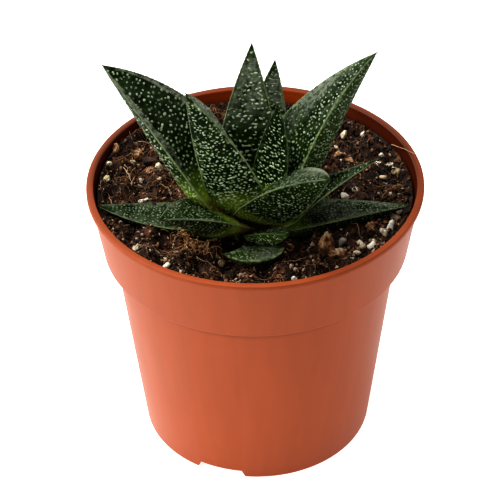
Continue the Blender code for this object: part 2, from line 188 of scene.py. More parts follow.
LEAVES = (
    Leaf("front_right", 318, 51, -26, -16, 0.0475, 0.0205, 0.0120, 6, -8, 0.0000, 0.0940, 0.0, 2.0),
    Leaf("front_short", 308, 37, -18, -2, 0.0210, 0.0110, 0.0060, -4, -7, 0.0020, 0.0835, 0.0, 1.6),
    Leaf("front_lowest", 296, 29, -20, -125, 0.0245, 0.0125, 0.0065, 1, -3, 0.0080, 0.0830, 0.0, 1.8),
    Leaf("left_short", 216, 43, -33, 11, 0.0345, 0.0190, 0.0085, 4, -6, 0.0045, 0.0895, 0.0, 1.7),
    Leaf("front_left", 209, 79, -30, -1, 0.0535, 0.0215, 0.0140, -2, -7, -0.0030, 0.0930, 0.0, 1.9),
    Leaf("young", 25, 72, 18, 7, 0.0325, 0.0130, 0.0030, 19, 8, 0.0050, 0.0945, 0.0, 1.7),
    Leaf("right_tall", 39, 65, -33, -26, 0.0610, 0.0215, 0.0120, -1, -3, 0.0040, 0.0900, -0.5, 1.7),
    Leaf("back_tall", 90, 70, -9, -8, 0.0485, 0.0195, 0.0055, -2, 0, 0.0035, 0.0920, 0.0, 1.5),
    Leaf("left_tall", 168, 66, -31, 7, 0.0650, 0.0235, 0.0100, -16, -14, 0.0025, 0.0905, 0.6, 2.0),
    Leaf("back_small", 72, 59, 1, 4, 0.0445, 0.0165, 0.0045, 4, 2, 0.0075, 0.0880, 0.0, 1.7),
    Leaf("right_slim", 0, 35, -2, -4, 0.0405, 0.0160, 0.0055, 11, -3, 0.0065, 0.0880, 0.1, 0.7),
    Leaf("left_low", 181, -1, 7, -13, 0.0425, 0.0160, 0.0080, 9, -11, 0.0050, 0.0880, 0.1, 1.8),
    Leaf("right_low", 3, 9, -9, -2, 0.0450, 0.0160, 0.0080, -2, -7, 0.0050, 0.0865, -0.1, 1.5),
    Leaf("rear_left", 122, 34, -12, 6, 0.0270, 0.0150, 0.0065, 0, 0, 0.0060, 0.0885, 0.0, 1.7),
    Leaf("rear_right", 52, 42, -14, -4, 0.0240, 0.0140, 0.0060, 0, 0, 0.0070, 0.0880, 0.0, 1.7),
)


class Look(NamedTuple):
    """A leaf's finish, each number from 0 for none to about 1 for full. More than 1 covers or shines more.

    The first number is the grey wax and painted sheen over the upper face, and rim the painted sheen beside
    its margins.
    grain is how large the spots are and how far apart, and bright how pale they are, where more than 1 paints
    light on spots in shade. light is how light the green between them is, partly the leaf's own tone and
    partly painted light on leaves in shade. tilt is the wax and painted sheen on the upper face's left half,
    and scurf how pale the rough skin beside the margins is. fade is how much fainter the upper face's spots
    are in its lower half, base how far up the yellow base reaches, as a share of the length, and line how
    pale the line along the margins and the keel is. low is how much further down the leaf the wax and sheen
    reach, and outer how much painted light lightens the outer faces.
    """

    wax_sheen: float
    rim: float
    grain: float
    bright: float
    light: float
    tilt: float = 0.0
    scurf: float = 0.25
    fade: float = 0.50
    base: float = 0.24
    line: float = 1.0
    low: float = 0.0
    outer: float = 0.0


LOOKS = {
    "front_right": Look(0.30, 0.60, 0.68, 0.54, 0.00, tilt=0.82, scurf=0.40, base=0.16, line=0.62),
    "front_short": Look(0.80, 0.20, 0.58, 1.50, 2.10, fade=0.0, base=0.16, line=0.80),
    "front_lowest": Look(1.10, 0.40, 0.60, 0.60, 1.00, scurf=1.80, base=0.12, line=0.20, low=0.32),
    "left_short": Look(0.25, 0.35, 0.66, 0.60, 0.10, base=0.32),
    "front_left": Look(0.80, 1.00, 0.78, 0.95, 0.00, scurf=1.30, base=0.22),
    "young": Look(0.10, 0.10, 0.72, 1.60, 0.40, scurf=0.60, fade=0.0, base=0.06, line=0.55),
    "right_tall": Look(0.30, 0.10, 0.78, 0.72, 0.00, tilt=1.20, scurf=1.10, base=0.20, line=1.00, outer=0.85),
    "back_tall": Look(1.70, 0.30, 0.88, 0.90, 0.20, tilt=0.45, scurf=0.40, fade=0.35, base=0.16),
    "left_tall": Look(0.15, 1.00, 0.90, 0.85, 0.06, scurf=0.60, base=0.31),
    "back_small": Look(0.90, 0.30, 0.70, 0.62, 0.10, scurf=0.40),
    "right_slim": Look(0.30, 0.40, 0.66, 0.55, 0.10),
    "left_low": Look(0.32, 0.25, 0.62, 0.42, 0.04, line=0.55, low=0.06),
    "right_low": Look(1.05, 0.60, 0.60, 0.66, 0.12, line=0.75, low=0.16),
    "rear_left": Look(0.40, 0.30, 0.76, 0.80, 0.10),
    "rear_right": Look(0.40, 0.30, 0.76, 0.80, 0.10),
}


class Lump(NamedTuple):
    """A chip or grain in the soil: its place, half sizes, turn about Z, lean, and tone from dark to pale."""

    x: float
    y: float
    half: tuple
    turn: float
    lean: float
    tone: float


CHIPS = (
    Lump(0.0206, -0.0284, (0.0017, 0.0023, 0.0053), 66, 12, 0.72),
    Lump(0.0248, -0.0298, (0.0026, 0.0015, 0.0014), 15, 6, 0.80),
    Lump(0.0205, -0.0355, (0.0013, 0.0011, 0.0009), 40, 0, 0.82),
    Lump(0.0303, -0.0272, (0.0011, 0.0009, 0.0008), 0, 0, 0.90),
    Lump(0.0285, -0.0335, (0.0012, 0.0009, 0.0008), 70, 0, 0.72),
    Lump(-0.0215, -0.0270, (0.0022, 0.0013, 0.0011), 150, 8, 0.60),
    Lump(-0.0150, -0.0360, (0.0026, 0.0020, 0.0016), 60, 0, 0.22),
    Lump(0.0080, -0.0400, (0.0026, 0.0014, 0.0012), 10, 0, 0.35),
    Lump(0.0330, -0.0010, (0.0026, 0.0018, 0.0014), 100, 0, 0.20),
    Lump(-0.0330, 0.0130, (0.0016, 0.0020, 0.0012), 130, 12, 0.70),
    Lump(-0.0180, 0.0260, (0.0034, 0.0018, 0.0014), 30, 0, 0.45),
    Lump(0.0360, -0.0165, (0.0022, 0.0015, 0.0012), 10, 10, 0.66),
    Lump(0.0405, -0.0150, (0.0014, 0.0011, 0.0009), 80, 0, 0.25),
    Lump(-0.0370, 0.0215, (0.0019, 0.0016, 0.0014), 70, 20, 0.76),
    Lump(-0.0440, 0.0200, (0.0012, 0.0018, 0.0013), 20, 15, 0.58),
    Lump(-0.0335, 0.0180, (0.0028, 0.0019, 0.0014), 160, 0, 0.05),
    Lump(-0.0105, -0.0320, (0.0010, 0.0013, 0.0012), 0, 15, 0.90),
    Lump(0.0090, -0.0360, (0.0014, 0.0009, 0.0008), 30, 0, 0.82),
    Lump(-0.0080, -0.0375, (0.0018, 0.0017, 0.0014), 0, 0, 0.12),
    Lump(0.0270, 0.0210, (0.0016, 0.0013, 0.0011), 40, 0, 0.72),
    Lump(0.0300, 0.0180, (0.0013, 0.0011, 0.0010), 120, 0, 0.78),
    Lump(0.0060, 0.0400, (0.0030, 0.0016, 0.0013), 75, 0, 0.30),
    Lump(-0.0280, 0.0350, (0.0022, 0.0015, 0.0012), 20, 0, 0.60),
    Lump(0.0240, 0.0350, (0.0020, 0.0014, 0.0012), 140, 0, 0.15),
)
PERLITE = (
    Lump(0.0391, -0.0199, (0.0012, 0.0011, 0.0011), 30, 0, 0.85),
    Lump(0.0411, -0.0181, (0.0012, 0.0012, 0.0016), 0, 0, 0.98),
    Lump(0.0323, -0.0254, (0.0012, 0.0009, 0.0010), 80, 0, 0.75),
    Lump(0.0353, -0.0267, (0.0010, 0.0009, 0.0009), 15, 0, 0.95),
    Lump(0.0362, -0.0240, (0.0007, 0.0006, 0.0006), 0, 0, 0.60),
    Lump(0.0303, -0.0298, (0.0010, 0.0007, 0.0007), 0, 0, 0.80),
    Lump(0.0261, -0.0237, (0.0013, 0.0012, 0.0012), 50, 0, 0.05),
    Lump(0.0440, -0.0095, (0.0007, 0.0007, 0.0006), 0, 0, 0.85),
    Lump(0.0430, -0.0123, (0.0010, 0.0009, 0.0008), 20, 0, 0.60),
    Lump(0.0115, -0.0408, (0.0006, 0.0006, 0.0006), 0, 0, 0.90),
    Lump(-0.0044, -0.0380, (0.0007, 0.0005, 0.0005), 0, 0, 0.95),
    Lump(-0.0236, -0.0273, (0.0009, 0.0006, 0.0006), 70, 0, 0.90),
    Lump(0.0290, 0.0315, (0.0009, 0.0009, 0.0009), 0, 0, 0.70),
    Lump(0.0350, 0.0305, (0.0006, 0.0006, 0.0006), 0, 0, 0.90),
    Lump(0.0390, 0.0156, (0.0010, 0.0007, 0.0007), 40, 0, 0.95),
    Lump(0.0405, 0.0195, (0.0006, 0.0005, 0.0005), 0, 0, 0.90),
    Lump(0.0428, 0.0140, (0.0008, 0.0007, 0.0007), 0, 0, 0.90),
    Lump(0.0445, 0.0103, (0.0011, 0.0010, 0.0010), 60, 0, 0.35),
    Lump(0.0402, 0.0087, (0.0010, 0.0008, 0.0007), 30, 0, 0.55),
    Lump(0.0315, 0.0024, (0.0009, 0.0008, 0.0007), 0, 0, 0.80),
    Lump(0.0277, -0.0008, (0.0009, 0.0009, 0.0008), 0, 0, 0.85),
    Lump(0.0420, -0.0008, (0.0008, 0.0007, 0.0006), 0, 0, 0.75),
    Lump(-0.0465, 0.0060, (0.0009, 0.0008, 0.0009), 0, 0, 0.30),
    Lump(-0.0330, 0.0228, (0.0009, 0.0008, 0.0008), 20, 0, 0.75),
    Lump(-0.0303, 0.0145, (0.0010, 0.0009, 0.0012), 10, 0, 0.60),
    Lump(-0.0390, 0.0174, (0.0007, 0.0006, 0.0006), 0, 0, 0.50),
    Lump(-0.0460, 0.0130, (0.0006, 0.0006, 0.0006), 0, 0, 0.70),
    Lump(-0.0358, 0.0087, (0.0006, 0.0006, 0.0006), 0, 0, 0.90),
    Lump(-0.0352, -0.0020, (0.0008, 0.0007, 0.0007), 0, 0, 0.90),
    Lump(-0.0356, -0.0258, (0.0015, 0.0009, 0.0010), 40, 0, 0.80),
    Lump(-0.0274, -0.0345, (0.0011, 0.0006, 0.0006), 30, 0, 0.90),
)

# The tuft of husk fibres at the front left: where it lies, how far it spreads and how it is turned
TUFT_X, TUFT_Y = -0.0200, -0.0235
TUFT_LONG, TUFT_WIDE, TUFT_HIGH = 0.0034, 0.0013, 0.0034
TUFT_TURN = -38.0
TUFT_FIBRES = 170

# Long pale roots: where each starts and ends, how far it bows sideways, and its tone. One lies over the lip
ROOTS = (
    ((0.0436, 0.0220, 0.0892), (0.0502, 0.0105, 0.0937), 0.0004, 0.95),
    ((-0.0416, 0.0129, 0.0880), (-0.0388, 0.0045, 0.0880), 0.0005, 0.95),
    ((-0.0378, 0.0080, 0.0880), (-0.0386, 0.0030, 0.0882), -0.0003, 0.80),
    ((-0.0400, 0.0297, 0.0882), (-0.0396, 0.0214, 0.0884), 0.0004, 0.75),
    ((-0.0398, 0.0310, 0.0885), (-0.0370, 0.0375, 0.0890), -0.0003, 0.85),
    ((-0.0340, 0.0100, 0.0882), (-0.0324, 0.0122, 0.0882), 0.0008, 1.00),
    ((-0.0375, 0.0262, 0.0884), (-0.0342, 0.0256, 0.0884), 0.0004, 0.95),
    ((-0.0300, 0.0040, 0.0880), (-0.0262, -0.0010, 0.0878), 0.0010, 0.80),
    ((-0.0452, -0.0030, 0.0884), (-0.0425, -0.0085, 0.0880), -0.0006, 0.85),
    ((-0.0330, -0.0180, 0.0878), (-0.0268, -0.0205, 0.0882), 0.0009, 0.75),
    ((-0.0180, -0.0330, 0.0876), (-0.0120, -0.0385, 0.0880), 0.0008, 0.80),
    ((0.0085, -0.0345, 0.0874), (0.0150, -0.0330, 0.0878), -0.0008, 0.85),
    ((0.0290, 0.0080, 0.0878), (0.0345, 0.0125, 0.0882), 0.0007, 0.75),
    ((0.0395, -0.0040, 0.0880), (0.0440, 0.0015, 0.0884), 0.0007, 0.80),
)
ROOT_R = 0.00013
ROOT_STEPS = 24
ROOT_SIDES = 6

# Seeds of the random draws
LEAF_SEED, CRUMB_SEED, CHIP_SEED, PERLITE_SEED, FIBRE_SEED = 100, 11, 12, 13, 14

# Room left at the pot's wall, and the sizes of strewn bits: a gamma draw's shape and scale, and what is added
CRUMB_ROOM, CRUMB_GAMMA, CRUMB_LEAST = 0.0006, (1.9, 0.00016), 0.00017
PERLITE_ROOM, PERLITE_GAMMA, PERLITE_LEAST = 0.0015, (1.6, 0.00011), 0.00016
FIBRE_ROOM, FIBRE_GAMMA, FIBRE_LEAST = 0.0030, (2.2, 0.0013), 0.0014

# A crumb's largest size, its half sizes as shares of its size, its rings and sides, and its dents' depth
CRUMB_MOST = 0.0007
CRUMB_SHAPE = ((0.9, 1.8), (0.5, 1.0), (0.25, 0.7))
CRUMB_BALL, CRUMB_DENTS = (2, 5), 0.28

# Rings and sides, flat sides and how near the middle they are, and the share of the size that they leave
CHIP_BALL, CHIP_CUTS, CHIP_LEFT = (17, 24), (11, 0.50), 0.8
PERLITE_BALL, PERLITE_CUTS, PERLITE_LEFT = (7, 10), (9, 0.30), 0.75

# How many perlite grains are strewn, and how much larger the listed ones are made
PERLITE_STREWN, PERLITE_SWELL = 260, 1.35

# Fibres: their radius, room at the wall, lift off the soil, and the most that they lie and arch above it
FIBRE_R = (0.00005, 0.00012)
FIBRE_REACH_ROOM, FIBRE_LIFT, FIBRE_HIGH, FIBRE_ARCH = 0.0012, 0.0004, 0.0008, 0.0018

# The tuft's fibres against the loose ones: how long and how thick they are
TUFT_SHORTER, TUFT_THICKER = 0.65, 1.3


class Bits(NamedTuple):
    """The finish of one kind of bit: its roughness, its grain's size and relief, and its colour by tone.

    patchy is how far patches of about 2 mm change its tone.
    """

    roughness: float
    grain: float
    depth: float
    stops: tuple
    patchy: float = 0.0


BITS = {
    "peat_crumb": Bits(0.80, 0.0004, 0.0002, (
        (0.00, (0.009, 0.005, 0.003)),
        (0.38, (0.030, 0.013, 0.006)),
        (0.62, (0.100, 0.038, 0.013)),
        (0.82, (0.250, 0.108, 0.040)),
        (0.96, (0.450, 0.270, 0.140)),
        (1.10, (0.640, 0.480, 0.330)),
    )),
    "bark": Bits(0.80, 0.0006, 0.0005, (
        (0.0, (0.018, 0.010, 0.007)),
        (0.4, (0.060, 0.026, 0.012)),
        (0.7, (0.210, 0.085, 0.030)),
        (0.9, (0.420, 0.240, 0.110)),
        (1.2, (0.620, 0.470, 0.300)),
    ), patchy=0.45),
    "perlite": Bits(0.90, 0.0003, 0.00015, (
        (0.0, (0.36, 0.33, 0.31)),
        (0.3, (0.60, 0.50, 0.28)),
        (0.7, (0.72, 0.63, 0.46)),
        (1.0, (0.82, 0.76, 0.66)),
    )),
    "coir": Bits(0.70, 0.0006, 0.00005, (
        (0.0, (0.045, 0.018, 0.008)),
        (0.5, (0.170, 0.075, 0.028)),
        (0.8, (0.340, 0.170, 0.075)),
        (1.0, (0.600, 0.340, 0.160)),
        (1.4, (1.000, 0.640, 0.320)),
    )),
    "root": Bits(0.65, 0.0005, 0.00004, (
        (0.5, (0.20, 0.09, 0.035)),
        (0.8, (0.40, 0.24, 0.12)),
        (1.0, (0.62, 0.48, 0.33)),
    )),
}

# The colours of marks and of painted light and shade on the pot, in the peat and on the leaves, beside those
# in the settings
POT_RUBBED = (0.43, 0.108, 0.040)
POT_DUST = (0.60, 0.40, 0.30)
POT_UNDER_SHADE = (0.120, 0.026, 0.009)
POT_INSIDE_SHADE = (0.42, 0.070, 0.006)
POT_INSIDE_SIDES_SHADE = (0.050, 0.011, 0.003)
POT_RIM_BACK_SHADE = (0.130, 0.052, 0.034)
POT_STAIN_AND_SHADE = (0.060, 0.012, 0.003)
PEAT_BROWN = (0.044, 0.019, 0.008)
PEAT_RUST = (0.120, 0.048, 0.018)
PEAT_TAN = (0.24, 0.13, 0.07)
PEAT_BLACK = (0.006, 0.0035, 0.002)
SKIN_LIGHT = (0.032, 0.062, 0.006)
SKIN_FLECK = (0.10, 0.15, 0.075)
SKIN_SHEEN_BAND = (0.260, 0.280, 0.215)
SKIN_FOOT = (0.160, 0.055, 0.010)
SKIN_SCURF = (0.27, 0.33, 0.18)
MARGIN_DULL = (0.170, 0.210, 0.125)
SPOT_DULL = (0.15, 0.22, 0.11)
SPOT_YELLOW = (0.60, 0.74, 0.24)
TIP_BROWN = (0.025, 0.016, 0.008)
STEM_BROWN = (0.10, 0.06, 0.02)
STEM_GREEN = (0.17, 0.17, 0.05)

# How finely each surface is divided
LEAF_CELL = 0.0004
EDGE_STOPS = (0.0, 0.3, 0.7, 1.1, 1.5, 1.8, 2.1)
FACE_CELLS = 16
POT_STEPS = 224
DRAIN_SIDES = 32
SOIL_CELLS = 185
STEM_SIDES, STEM_ROWS = 48, 120
FIBRE_STEPS, FIBRE_SIDES = 9, 3

# Edges of the pot that turn by more degrees than this are drawn sharp
POT_SHARP = 40.0

# Where the pot's painted shade fades out and in: at its rim's front and back, its sides, and under its collar
RIM_FRONT_Y = (0.016, -0.010)
RIM_BACK_Y = (-0.060, 0.030)
INNER_SIDE_X = (0.012, 0.036)
UNDER_SHADE_FROM, UNDER_SHADE_FULL, UNDER_SHADE_TOP = 0.0050, 0.0027, 0.0002

# How many turns the spiral of old leaf scars makes up the stem
STEM_SCARS = 14

# How far the pattern of the upper face's flecks is from that of the outer faces
UPPER_SHIFT = 31.7

# The horny margins and keel: how blunt a corner they sit on, how thick they are at most, and their teeth
MARGIN_SIN, MARGIN_COS = 0.50, 0.87
MARGIN_SHARE, MARGIN_LEAST = 0.06, 0.00002
TOOTH_PITCH = 0.0014

# The low waves of the leaf's skin: their height, and how far from a margin they fade out
WAVE_H = 0.00016
WAVE_FADE = 0.0015

# The fine point that each leaf ends in: how far it stands out of the tip, and how wide it starts
POINT_L = 0.0009
POINT_W = 0.00042

# The camera that the photograph was taken from: where it looks, from how far, and how it is turned
CAMERA_TARGET = Vector((0.0, 0.0, 0.045))
CAMERA_AWAY = 0.73669
CAMERA_DOWN = 39.62
CAMERA_YAW = -0.148
CAMERA_PITCH = 1.183
CAMERA_ROLL = -0.626
SENSOR_W = 36.0
LENS = 163.99

# The floor, which glows softly round the pot, as a light table does
FLOOR_HALF = 3.0
FLOOR_DROP = 0.00005
FLOOR_COLOURS = ((0.86, 0.86, 0.86), (0.88, 0.88, 0.88))
FLOOR_GLOW = 0.60
FLOOR_GLOW_R = (0.34, 0.10)

# The lights: name, place, size and share of the set power, and then the light from all round
LIGHTS = (
    ("top_light", (-0.45, 0.25, 0.95), (0.8, 0.8), 1.35),
    ("left_light", (-0.85, -0.40, 0.35), (0.5, 0.6), 0.38),
    ("right_light", (0.85, 0.15, 0.35), (0.4, 0.5), 0.13),
)
WORLD_LIGHT = 0.22


def colour_setting(name, description, default):
    """A colour for the panel."""
    return FloatVectorProperty(
        name=name, description=description, default=default, subtype="COLOR", size=3, min=0.0, max=1.0
    )


def length_setting(name, description, default, low, high):
    """A length in metres for the panel."""
    return FloatProperty(
        name=name, description=description, default=default, min=low, max=high, unit="LENGTH", precision=5
    )


class GasteriaSettings(bpy.types.PropertyGroup):
    """The sizes, counts and colours that a user would change."""

    margin_r: length_setting(
        "Margin radius", "Half the thickness of the horny line along each margin and keel",
        0.00023, 0.0001, 0.001
    )
    tooth_h: length_setting(
        "Tooth height", "How far the fine teeth of the margins stand out", 0.00026, 0.0, 0.0005
    )
    spot_h: length_setting(
        "Spot height", "How far a raised spot stands out of the leaf", 0.00016, 0.0, 0.0005
    )
    crumbs: IntProperty(
        name="Crumbs", description="How many loose crumbs of peat are strewn, with those that leaves cover",
        default=8000, min=0, max=9000
    )
    fibres: IntProperty(
        name="Fibres", description="How many rootlets and fibres are strewn, with those that leaves cover",
        default=1800, min=0, max=3000
    )
    leaf_green: colour_setting(
        "Leaf green", "The dark green of the leaves between their spots", (0.0040, 0.0112, 0.0003)
    )
    light_green: colour_setting(
        "Leaf light green", "The green of the leaves' lighter patches", (0.0125, 0.0300, 0.0015)
    )
    # The grey of the wax and of the painted sheen on the leaves' upper faces
    wax_and_sheen_colour: colour_setting("Wax", "The grey of the wax on the leaves' upper faces", (0.152, 0.172, 0.126))
    spot_colour: colour_setting("Spots", "The pale green of the raised spots", (0.52, 0.62, 0.42))
    margin_colour: colour_setting(
        "Margins", "The pale green of the horny margins and keels", (0.30, 0.385, 0.180)
    )
    # The bases' own yellow green, made paler as painted light where the crown is shaded
    base_colour: colour_setting(
        "Leaf bases", "The yellow green of the leaves where they leave the stem", (0.340, 0.500, 0.050)
    )
    pot_colour: colour_setting("Pot", "The terracotta orange of the pot's plastic", (0.375, 0.088, 0.029))
    peat_colour: colour_setting("Peat", "The dark brown of damp peat", (0.016, 0.008, 0.0045))
    light_power: FloatProperty(
        name="Light", description="The power of the studio lights",
        default=9.0, min=0.0, max=100.0, unit="POWER"
    )


def settings():
    """The scene's gasteria settings."""
    return bpy.context.scene.gasteria


class Value:
    """A number or a colour that a material's nodes work out. Each step of arithmetic on it adds a node."""

    def __init__(self, finish, socket):
        self.finish = finish
        self.socket = socket

    def __add__(self, other):
        return self.finish.maths("ADD", self, other)

    def __sub__(self, other):
        return self.finish.maths("SUBTRACT", self, other)

    def __rsub__(self, other):
        return self.finish.maths("SUBTRACT", other, self)

    def __mul__(self, other):
        return self.finish.maths("MULTIPLY", self, other)

    __radd__ = __add__
    __rmul__ = __mul__

    def at_most(self, other):
        """The smaller of this and another."""
        return self.finish.maths("MINIMUM", self, other)

    def at_least(self, other):
        """The larger of this and another."""
        return self.finish.maths("MAXIMUM", self, other)

    def ramp(self, low, high, kind="SMOOTHSTEP"):
        """0 where this is low, 1 where it is high, and held beyond them."""
        inputs = {"Value": self, "From Min": low, "From Max": high}
        return self.finish.value("ShaderNodeMapRange", "Result", inputs, interpolation_type=kind)

    def tint(self, colour, share):
        """This colour, gone over to another by a share from 0 to 1."""
        return self.finish.mix(self, colour, share)


class Finish:
    """Builds the node tree of one material."""

    def __init__(self, name):
        self.material = bpy.data.materials.new(name)
        self.material.use_nodes = True
        self.tree = self.material.node_tree
        self.shader = self.tree.nodes["Principled BSDF"]
        self.place = self.value("ShaderNodeTexCoord", "Object", {})

    def feed(self, node, inputs):
        """Links a node's inputs to values, or sets them to plain numbers and colours."""
        for key, value in inputs.items():
            socket = node.inputs[key]
            if isinstance(value, Value):
                self.tree.links.new(value.socket, socket)
            elif hasattr(value, "__len__"):
                socket.default_value = (*value, 1.0) if len(socket.default_value) == 4 else tuple(value)
            else:
                socket.default_value = value

    def value(self, kind, output, inputs, **options):
        """What a new node gives at an output, once its options are set and its inputs are fed."""
        node = self.tree.nodes.new(kind)
        for option, choice in options.items():
            setattr(node, option, choice)
        self.feed(node, inputs)
        return Value(self, node.outputs[output])

    def maths(self, operation, first, second=0.0):
        """One step of arithmetic."""
        return self.value("ShaderNodeMath", "Value", {0: first, 1: second}, operation=operation)

    def mix(self, first, second, share):
        """A colour that goes from the first to the second as the share goes from 0 to 1."""
        return self.value("ShaderNodeMix", 2, {"Factor": share, 6: first, 7: second}, data_type="RGBA")

    def length(self, vector):
        """How long a vector is."""
        return self.value("ShaderNodeVectorMath", "Value", {0: vector}, operation="LENGTH")

    def stretched(self, x, y, z):
        """Object coordinates scaled by a number along each axis."""
        return self.value("ShaderNodeMapping", "Vector", {"Vector": self.place, "Scale": (x, y, z)})

    def noise(self, size, detail=3.0, place=None):
        """Cloudy noise from 0 to 1, whose features are about as large as the given size."""
        inputs = {"Vector": place or self.place, "Scale": 1.0 / size, "Detail": detail}
        return self.value("ShaderNodeTexNoise", "Fac", inputs)

    def cells(self, size, output="Distance", place=None):
        """A cell pattern of the given size."""
        inputs = {"Vector": place or self.place, "Scale": 1.0 / size}
        return self.value("ShaderNodeTexVoronoi", output, inputs)

    def measure(self, name):
        """A number kept on the mesh's points."""
        return self.value("ShaderNodeAttribute", "Fac", {}, attribute_name=name)

    def relief(self, height, depth, below=None):
        """A bump of the given depth, on top of another bump if one is given."""
        inputs = {"Height": height, "Distance": depth}
        if below:
            inputs["Normal"] = below
        return self.value("ShaderNodeBump", "Normal", inputs)

    def done(self, colour, roughness, normal=None):
        """Feeds the shader and gives the material."""
        self.feed(self.shader, {"Base Color": colour, "Roughness": roughness})
        if normal:
            self.feed(self.shader, {"Normal": normal})
        return self.material


def make_mesh(name, points, faces, measures=None):
    """A mesh of points and lists of face corners, with numbers kept on its points.

    faces is a list of integer arrays, one row a face, which may differ in their number of corners.
    """
    points = points.reshape(-1, 3)
    faces = [part for part in faces if len(part)]
    sizes = np.concatenate([np.full(len(part), part.shape[1]) for part in faces])
    corners = np.concatenate([part.ravel() for part in faces])
    mesh = bpy.data.meshes.new(name)
    mesh.vertices.add(len(points))
    mesh.vertices.foreach_set("co", points.astype(np.float32).ravel())
    mesh.loops.add(len(corners))
    mesh.loops.foreach_set("vertex_index", corners.astype(np.int32))
    mesh.polygons.add(len(sizes))
    mesh.polygons.foreach_set("loop_start", (np.cumsum(sizes) - sizes).astype(np.int32))
    mesh.update(calc_edges=True)
    for key, values in (measures or {}).items():
        layer = mesh.attributes.new(key, "FLOAT", "POINT")
        layer.data.foreach_set("value", np.asarray(values, np.float32).ravel())
    return mesh


def add_object(name, data):
    """A new object of the scene, with a mesh, light or camera as its data."""
    added = bpy.data.objects.new(name, data)
    bpy.context.scene.collection.objects.link(added)
    return added


def add_piece(name, mesh, finish, replaced=(), smooth=True):
    """A piece at the origin that rides on the body, with its material. It stands for any nodes given."""
    mesh.materials.append(finish)
    if smooth:
        mesh.shade_smooth()
    piece = add_object(name, mesh)
    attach(piece, "root")
    if replaced:
        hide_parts(*replaced)
    return piece


def grid_faces(rows, columns, closed):
    """Four-sided faces of a grid of points, row after row. A closed grid's last column joins its first."""
    row = np.arange(rows - 1)[:, None] * columns
    column = np.arange(columns if closed else columns - 1)[None, :]
    after = (column + 1) % columns
    corners = (row + column, row + after, row + columns + after, row + columns + column)
    return np.stack(corners, -1).reshape(-1, 4)


def fan_faces(pole, ring):
    """Three-sided faces from a pole to each pair of neighbours in a closed ring."""
    return np.stack([np.full(len(ring), pole), np.roll(ring, -1), ring], -1)


def capped(grid, first, last):
    """A closed grid of points, row after row, with a fan of faces from a pole at either end."""
    rows, columns = grid.shape[:2]
    count = rows * columns
    around = np.arange(columns)
    caps = [fan_faces(count, around), fan_faces(count + 1, around + count - columns)[:, ::-1]]
    return np.vstack([grid.reshape(-1, 3), first, last]), [grid_faces(rows, columns, True), np.vstack(caps)]


def unit_ball(rings, sides):
    """A ball of radius 1: rings of points between two poles, each turned half a side from the last."""
    down = np.pi * np.arange(1, rings + 1) / (rings + 1)
    turn = 2 * np.pi * (np.arange(sides) + 0.5 * np.arange(rings)[:, None]) / sides
    wide = np.sin(down)[:, None]
    ring = np.stack([wide * np.cos(turn), wide * np.sin(turn), np.cos(down)[:, None] + 0 * turn], -1)
    points = np.vstack([[[0.0, 0.0, 1.0]], ring.reshape(-1, 3), [[0.0, 0.0, -1.0]]])
    index = 1 + np.arange(rings * sides).reshape(rings, sides)
    upper, lower = index[:-1], index[1:]
    next_upper, next_lower = np.roll(upper, -1, 1), np.roll(lower, -1, 1)
    first = np.stack([upper, lower, next_upper], -1).reshape(-1, 3)
    second = np.stack([next_upper, lower, next_lower], -1).reshape(-1, 3)
    top = fan_faces(0, index[0])[:, ::-1]
    bottom = fan_faces(len(points) - 1, index[-1])
    return points, np.vstack([top, first, second, bottom])


def repeated(faces, count, stride):
    """The same faces for each of a number of copies, whose points follow each other."""
    shift = np.arange(count)[:, None, None] * stride
    return (faces[None] + shift).reshape(-1, faces.shape[1])


def spins(rng, count):
    """Random turns as matrices, from unit quaternions that point evenly in all directions."""
    q = rng.normal(size=(4, count))
    w, x, y, z = q / np.linalg.norm(q, axis=0)
    rows = (
        (1 - 2 * (y * y + z * z), 2 * (x * y - z * w), 2 * (x * z + y * w)),
        (2 * (x * y + z * w), 1 - 2 * (x * x + z * z), 2 * (y * z - x * w)),
        (2 * (x * z - y * w), 2 * (y * z + x * w), 1 - 2 * (x * x + y * y)),
    )
    return np.moveaxis(np.array(rows), 2, 0)


def outline(leaf, t):
    """The leaf's width along its length, from 0 to 1: a swelling base, a taper and a fine point."""
    base = LEAF_BASE + (1 - LEAF_BASE) * np.sin(0.5 * np.pi * np.minimum(t / LEAF_WIDEST, 1.0))
    past = np.clip((t - LEAF_WIDEST) / (1 - LEAF_WIDEST), 0.0, 1.0)
    blade = np.where(t < LEAF_WIDEST, base, 1 - past**leaf.taper)
    point = np.clip((leaf.length * (1 - t) + POINT_L) / (2 * POINT_L), 0.0, 1.0) * POINT_W / leaf.width
    return np.maximum(blade, np.where(t > 0.5, point, 0.0))


def heading(leaf, t):
    """The directions along, across and up out of the leaf at each place along it."""
    slope = np.radians(leaf.rise + leaf.lift * t)
    turn = np.radians(leaf.azimuth + leaf.sway * t)
    along = np.stack([np.cos(slope) * np.cos(turn), np.cos(slope) * np.sin(turn), np.sin(slope)], -1)
    level = np.stack([-np.sin(turn), np.cos(turn), np.zeros_like(turn)], -1)
    raised = np.cross(along, level)
    roll = np.radians(leaf.roll + leaf.twist * t)[..., None]
    across = level * np.cos(roll) + raised * np.sin(roll)
    return along, across, raised * np.cos(roll) - level * np.sin(roll)


def centreline(leaf, t):
    """Points on the middle of the upper face: the heading summed along the leaf from its start."""
    fine = np.linspace(LEAF_ROOT, 1.0 + POINT_L / leaf.length, FINE_STEPS)
    along = heading(leaf, fine)[0]
    steps = 0.5 * (along[1:] + along[:-1]) * np.diff(fine)[:, None] * leaf.length
    path = np.vstack([np.zeros(3), np.cumsum(steps, 0)])
    start = np.array([np.interp(0.0, fine, path[:, axis]) for axis in range(3)])
    turn = math.radians(leaf.azimuth)
    foot = np.array([PLANT_X + leaf.out * math.cos(turn), PLANT_Y + leaf.out * math.sin(turn), leaf.up])
    return foot + np.stack([np.interp(t, fine, path[:, axis]) - start[axis] for axis in range(3)], -1)


